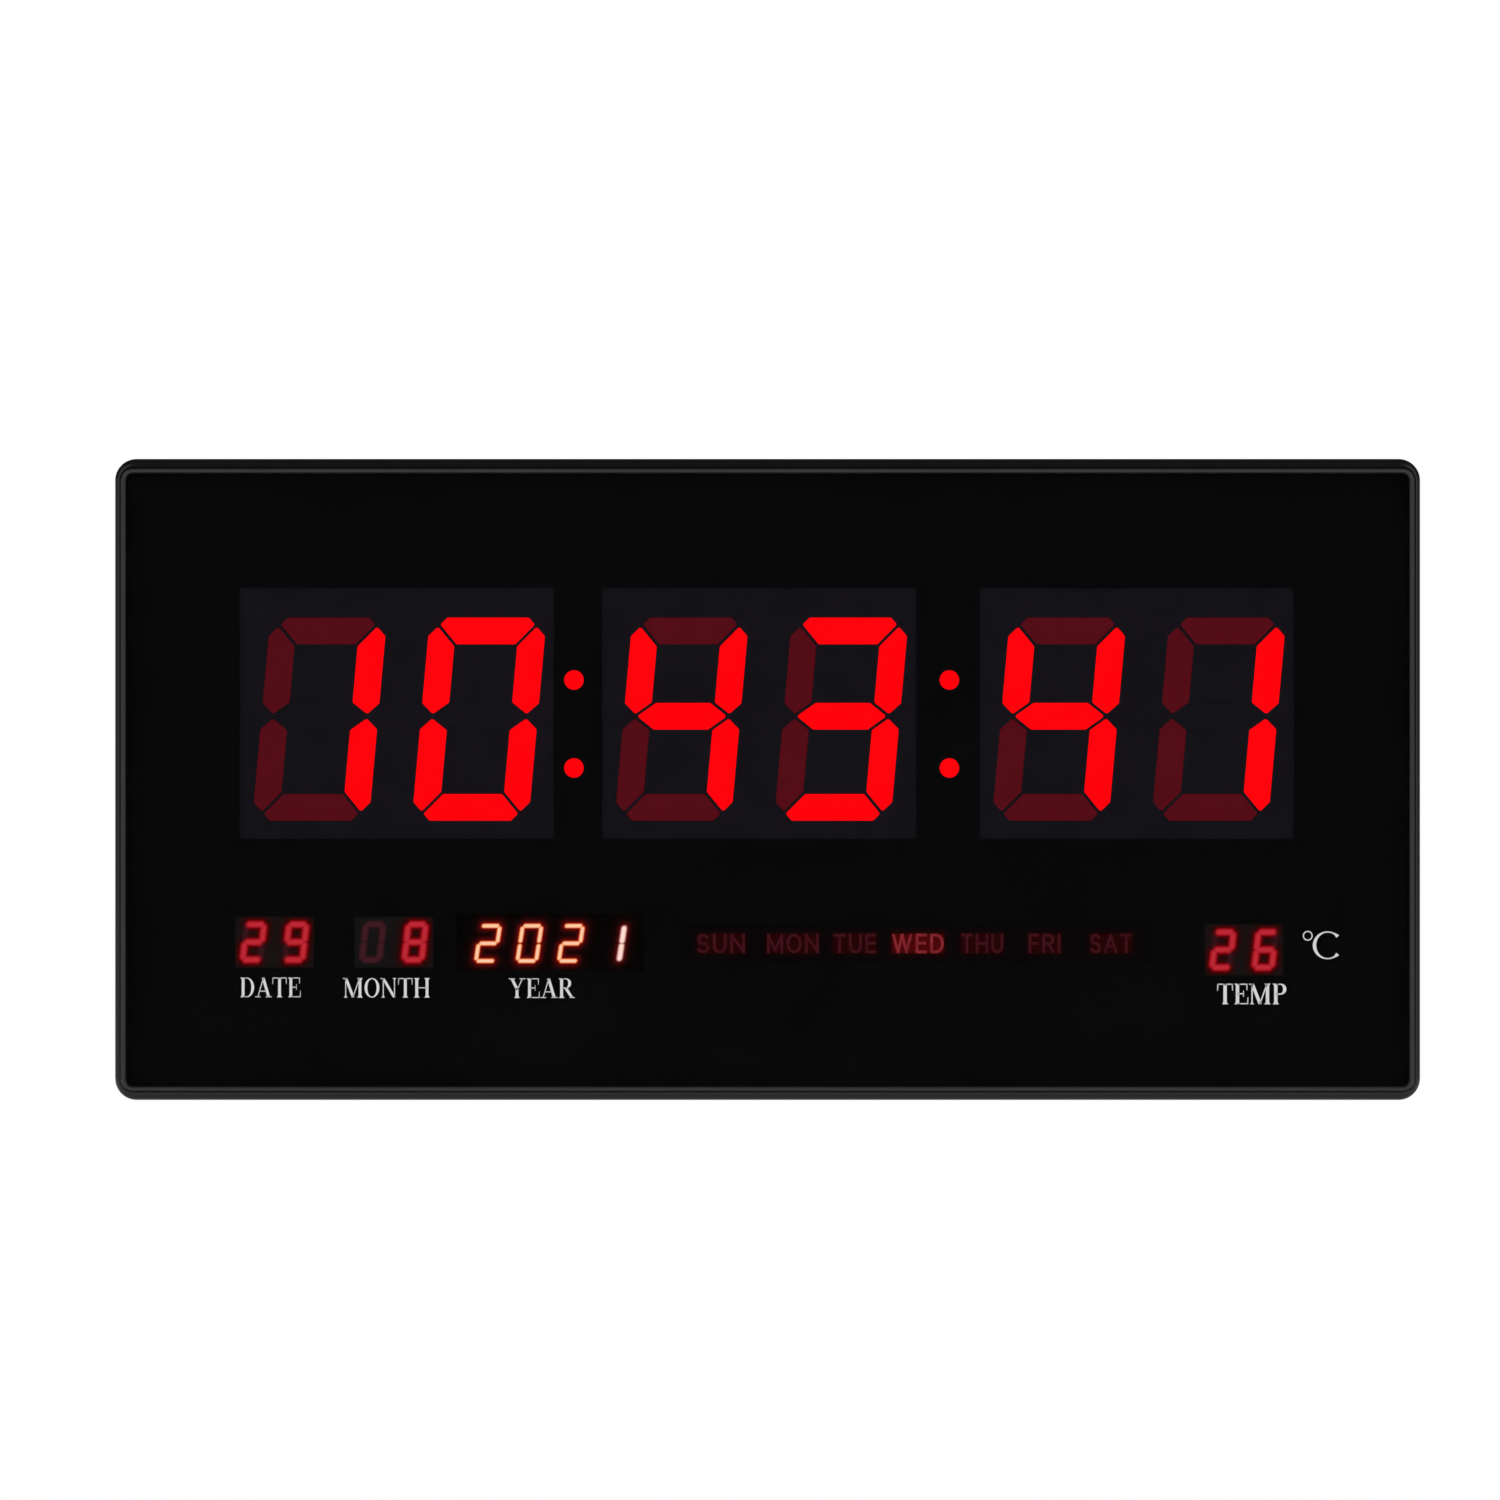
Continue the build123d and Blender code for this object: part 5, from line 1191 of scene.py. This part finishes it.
def make_world(fill):
    """White backdrop, an even fill light, and for mirror rays a room that is pale but for the dark
    sides behind the camera and above."""
    world = bpy.data.worlds.new("studio")
    bpy.context.scene.world = world
    world.use_nodes = True
    tree = world.node_tree
    tree.nodes.clear()
    place = add_node(tree, "TexCoord").outputs["Generated"]
    way = add_node(tree, "SeparateXYZ", {"Vector": place}).outputs
    behind = add_range(tree, way["Y"], BEHIND_MARKS, BEHIND_LEVELS, "SMOOTHSTEP")
    top = add_range(tree, way["Z"], TOP_MARKS, TOP_LEVELS, "SMOOTHSTEP")
    mirrored, seen = ray_shares(tree)
    light = mix_number(tree, mirrored, fill, add_math(tree, "MULTIPLY", behind, top))
    sky = add_node(tree, "Background", {"Color": WHITE, "Strength": mix_number(tree, seen, light, 1.0)})
    add_node(tree, "OutputWorld", {"Surface": sky.outputs["Background"]})


def make_floor(height):
    """A pale floor that keeps the clock's shadow near it and fades into the white backdrop."""
    finish, tree, skin = start_finish("pale_floor")
    paint = add_ramp(tree, add_noise(tree, FLOOR_SPOTS, WEAR_DETAIL), tuple(zip(NOISE_MARKS, FLOOR_TONES)))
    set_inputs(tree, skin, {"Base Color": paint, "Roughness": FLOOR_ROUGH, "Specular IOR Level": 0.0})
    place = add_node(tree, "TexCoord").outputs["Object"]
    flat = add_node(tree, "VectorMath", {0: place, 1: (1.0, 1.0, 0.0)}, operation="MULTIPLY")
    away = add_node(tree, "VectorMath", {0: flat.outputs["Vector"]}, operation="LENGTH").outputs["Value"]
    fade = add_range(tree, away, (FLOOR_NEAR, FLOOR_FAR), (0.0, 1.0), "SMOOTHSTEP")
    mirrored, seen = ray_shares(tree)
    white = add_math(tree, "MULTIPLY", fade, add_math(tree, "MAXIMUM", seen, mirrored))
    glow = add_node(tree, "Emission", {"Color": WHITE, "Strength": 1.0})
    mix_surface(tree, white, skin.outputs["BSDF"], glow.outputs["Emission"])
    corners = np.array([(-1, -1), (1, -1), (1, 1), (-1, 1)]) * FLOOR_HALF
    points = np.column_stack([corners, np.full(len(corners), height)])
    floor = add_mesh("floor", points, np.array([[0, 1, 2, 3]]), finish)


def make_soft_box(name, place, power):
    """A square area lamp that faces the clock."""
    lamp = bpy.data.lights.new(name, "AREA")
    lamp.shape = "SQUARE"
    lamp.size = SOFT_BOX_SIZE
    lamp.energy = power
    holder = add_object(name, lamp)
    holder.location = place
    holder.rotation_euler = (-Vector(place)).to_track_quat("-Z", "Y").to_euler()


def make_camera(stage):
    """A long lens square on to the dial, so that the frame's front fills the same share of the picture."""
    camera = bpy.data.cameras.new("camera")
    camera.sensor_width = SENSOR
    camera.lens = SENSOR * stage.camera_distance / stage.view_width
    camera.clip_end = FARTHEST
    holder = add_object("camera", camera)
    holder.location = (stage.view_x, -WIDEST_DEPTH * MM - stage.camera_distance, stage.view_z)
    holder.rotation_euler = (math.pi / 2, 0.0, 0.0)
    bpy.context.scene.camera = holder


class CLOCK_OT_stage(bpy.types.Operator):
    """Set the floor, the light and the camera"""

    bl_idname = "clock.stage"
    bl_label = "Set the stage"

    def execute(self, context):
        stage = context.scene.clock_stage
        context.scene.view_settings.view_transform = "Standard"
        make_world(stage.fill)
        make_floor(CAD_BOX[0].z - stage.floor_drop)
        for name, place in SOFT_BOXES.items():
            make_soft_box(name, place, stage.key_power)
        make_camera(stage)
        return {"FINISHED"}


OPERATORS = (
    CLOCK_OT_finish_nodes,
    CLOCK_OT_bead_highlight,
    CLOCK_OT_pins,
    CLOCK_OT_fade_bars,
    CLOCK_OT_panel_words,
    CLOCK_OT_weekdays,
    CLOCK_OT_button_marks,
    CLOCK_OT_glow_films,
    CLOCK_OT_year_film,
    CLOCK_OT_weekday_haze,
    CLOCK_OT_stage,
)
GROUPS = {
    "clock_finishes": ClockFinishes,
    "clock_words": ClockWords,
    "clock_glow": ClockGlow,
    "clock_stage": ClockStage,
}


class CLOCK_PT_sidebar(bpy.types.Panel):
    """The clock's settings and steps"""

    bl_idname = "CLOCK_PT_sidebar"
    bl_label = "Digital wall clock"
    bl_space_type = "VIEW_3D"
    bl_region_type = "UI"
    bl_category = "Clock"

    def draw(self, context):
        for name, group in GROUPS.items():
            box = self.layout.box()
            for key in group.__annotations__:
                box.prop(getattr(context.scene, name), key)
        for operator in OPERATORS:
            self.layout.operator(operator.bl_idname)


def register():
    for kind in (*GROUPS.values(), *OPERATORS, CLOCK_PT_sidebar):
        bpy.utils.register_class(kind)
    for name, group in GROUPS.items():
        setattr(bpy.types.Scene, name, PointerProperty(type=group))


def unregister():
    for name in GROUPS:
        delattr(bpy.types.Scene, name)
    for kind in (CLOCK_PT_sidebar, *reversed(OPERATORS), *GROUPS.values()):
        bpy.utils.unregister_class(kind)


def main():
    register()
    bpy.ops.clock.finish_nodes()
    bpy.ops.clock.bead()
    bpy.ops.clock.pins()
    bpy.ops.clock.fade_bars()
    bpy.ops.clock.panel_words()
    bpy.ops.clock.weekdays()
    bpy.ops.clock.button_marks()
    bpy.ops.clock.glow_films()
    bpy.ops.clock.year_film()
    bpy.ops.clock.weekday_haze()
    bpy.ops.clock.stage()


if __name__ == "__main__":
    main()
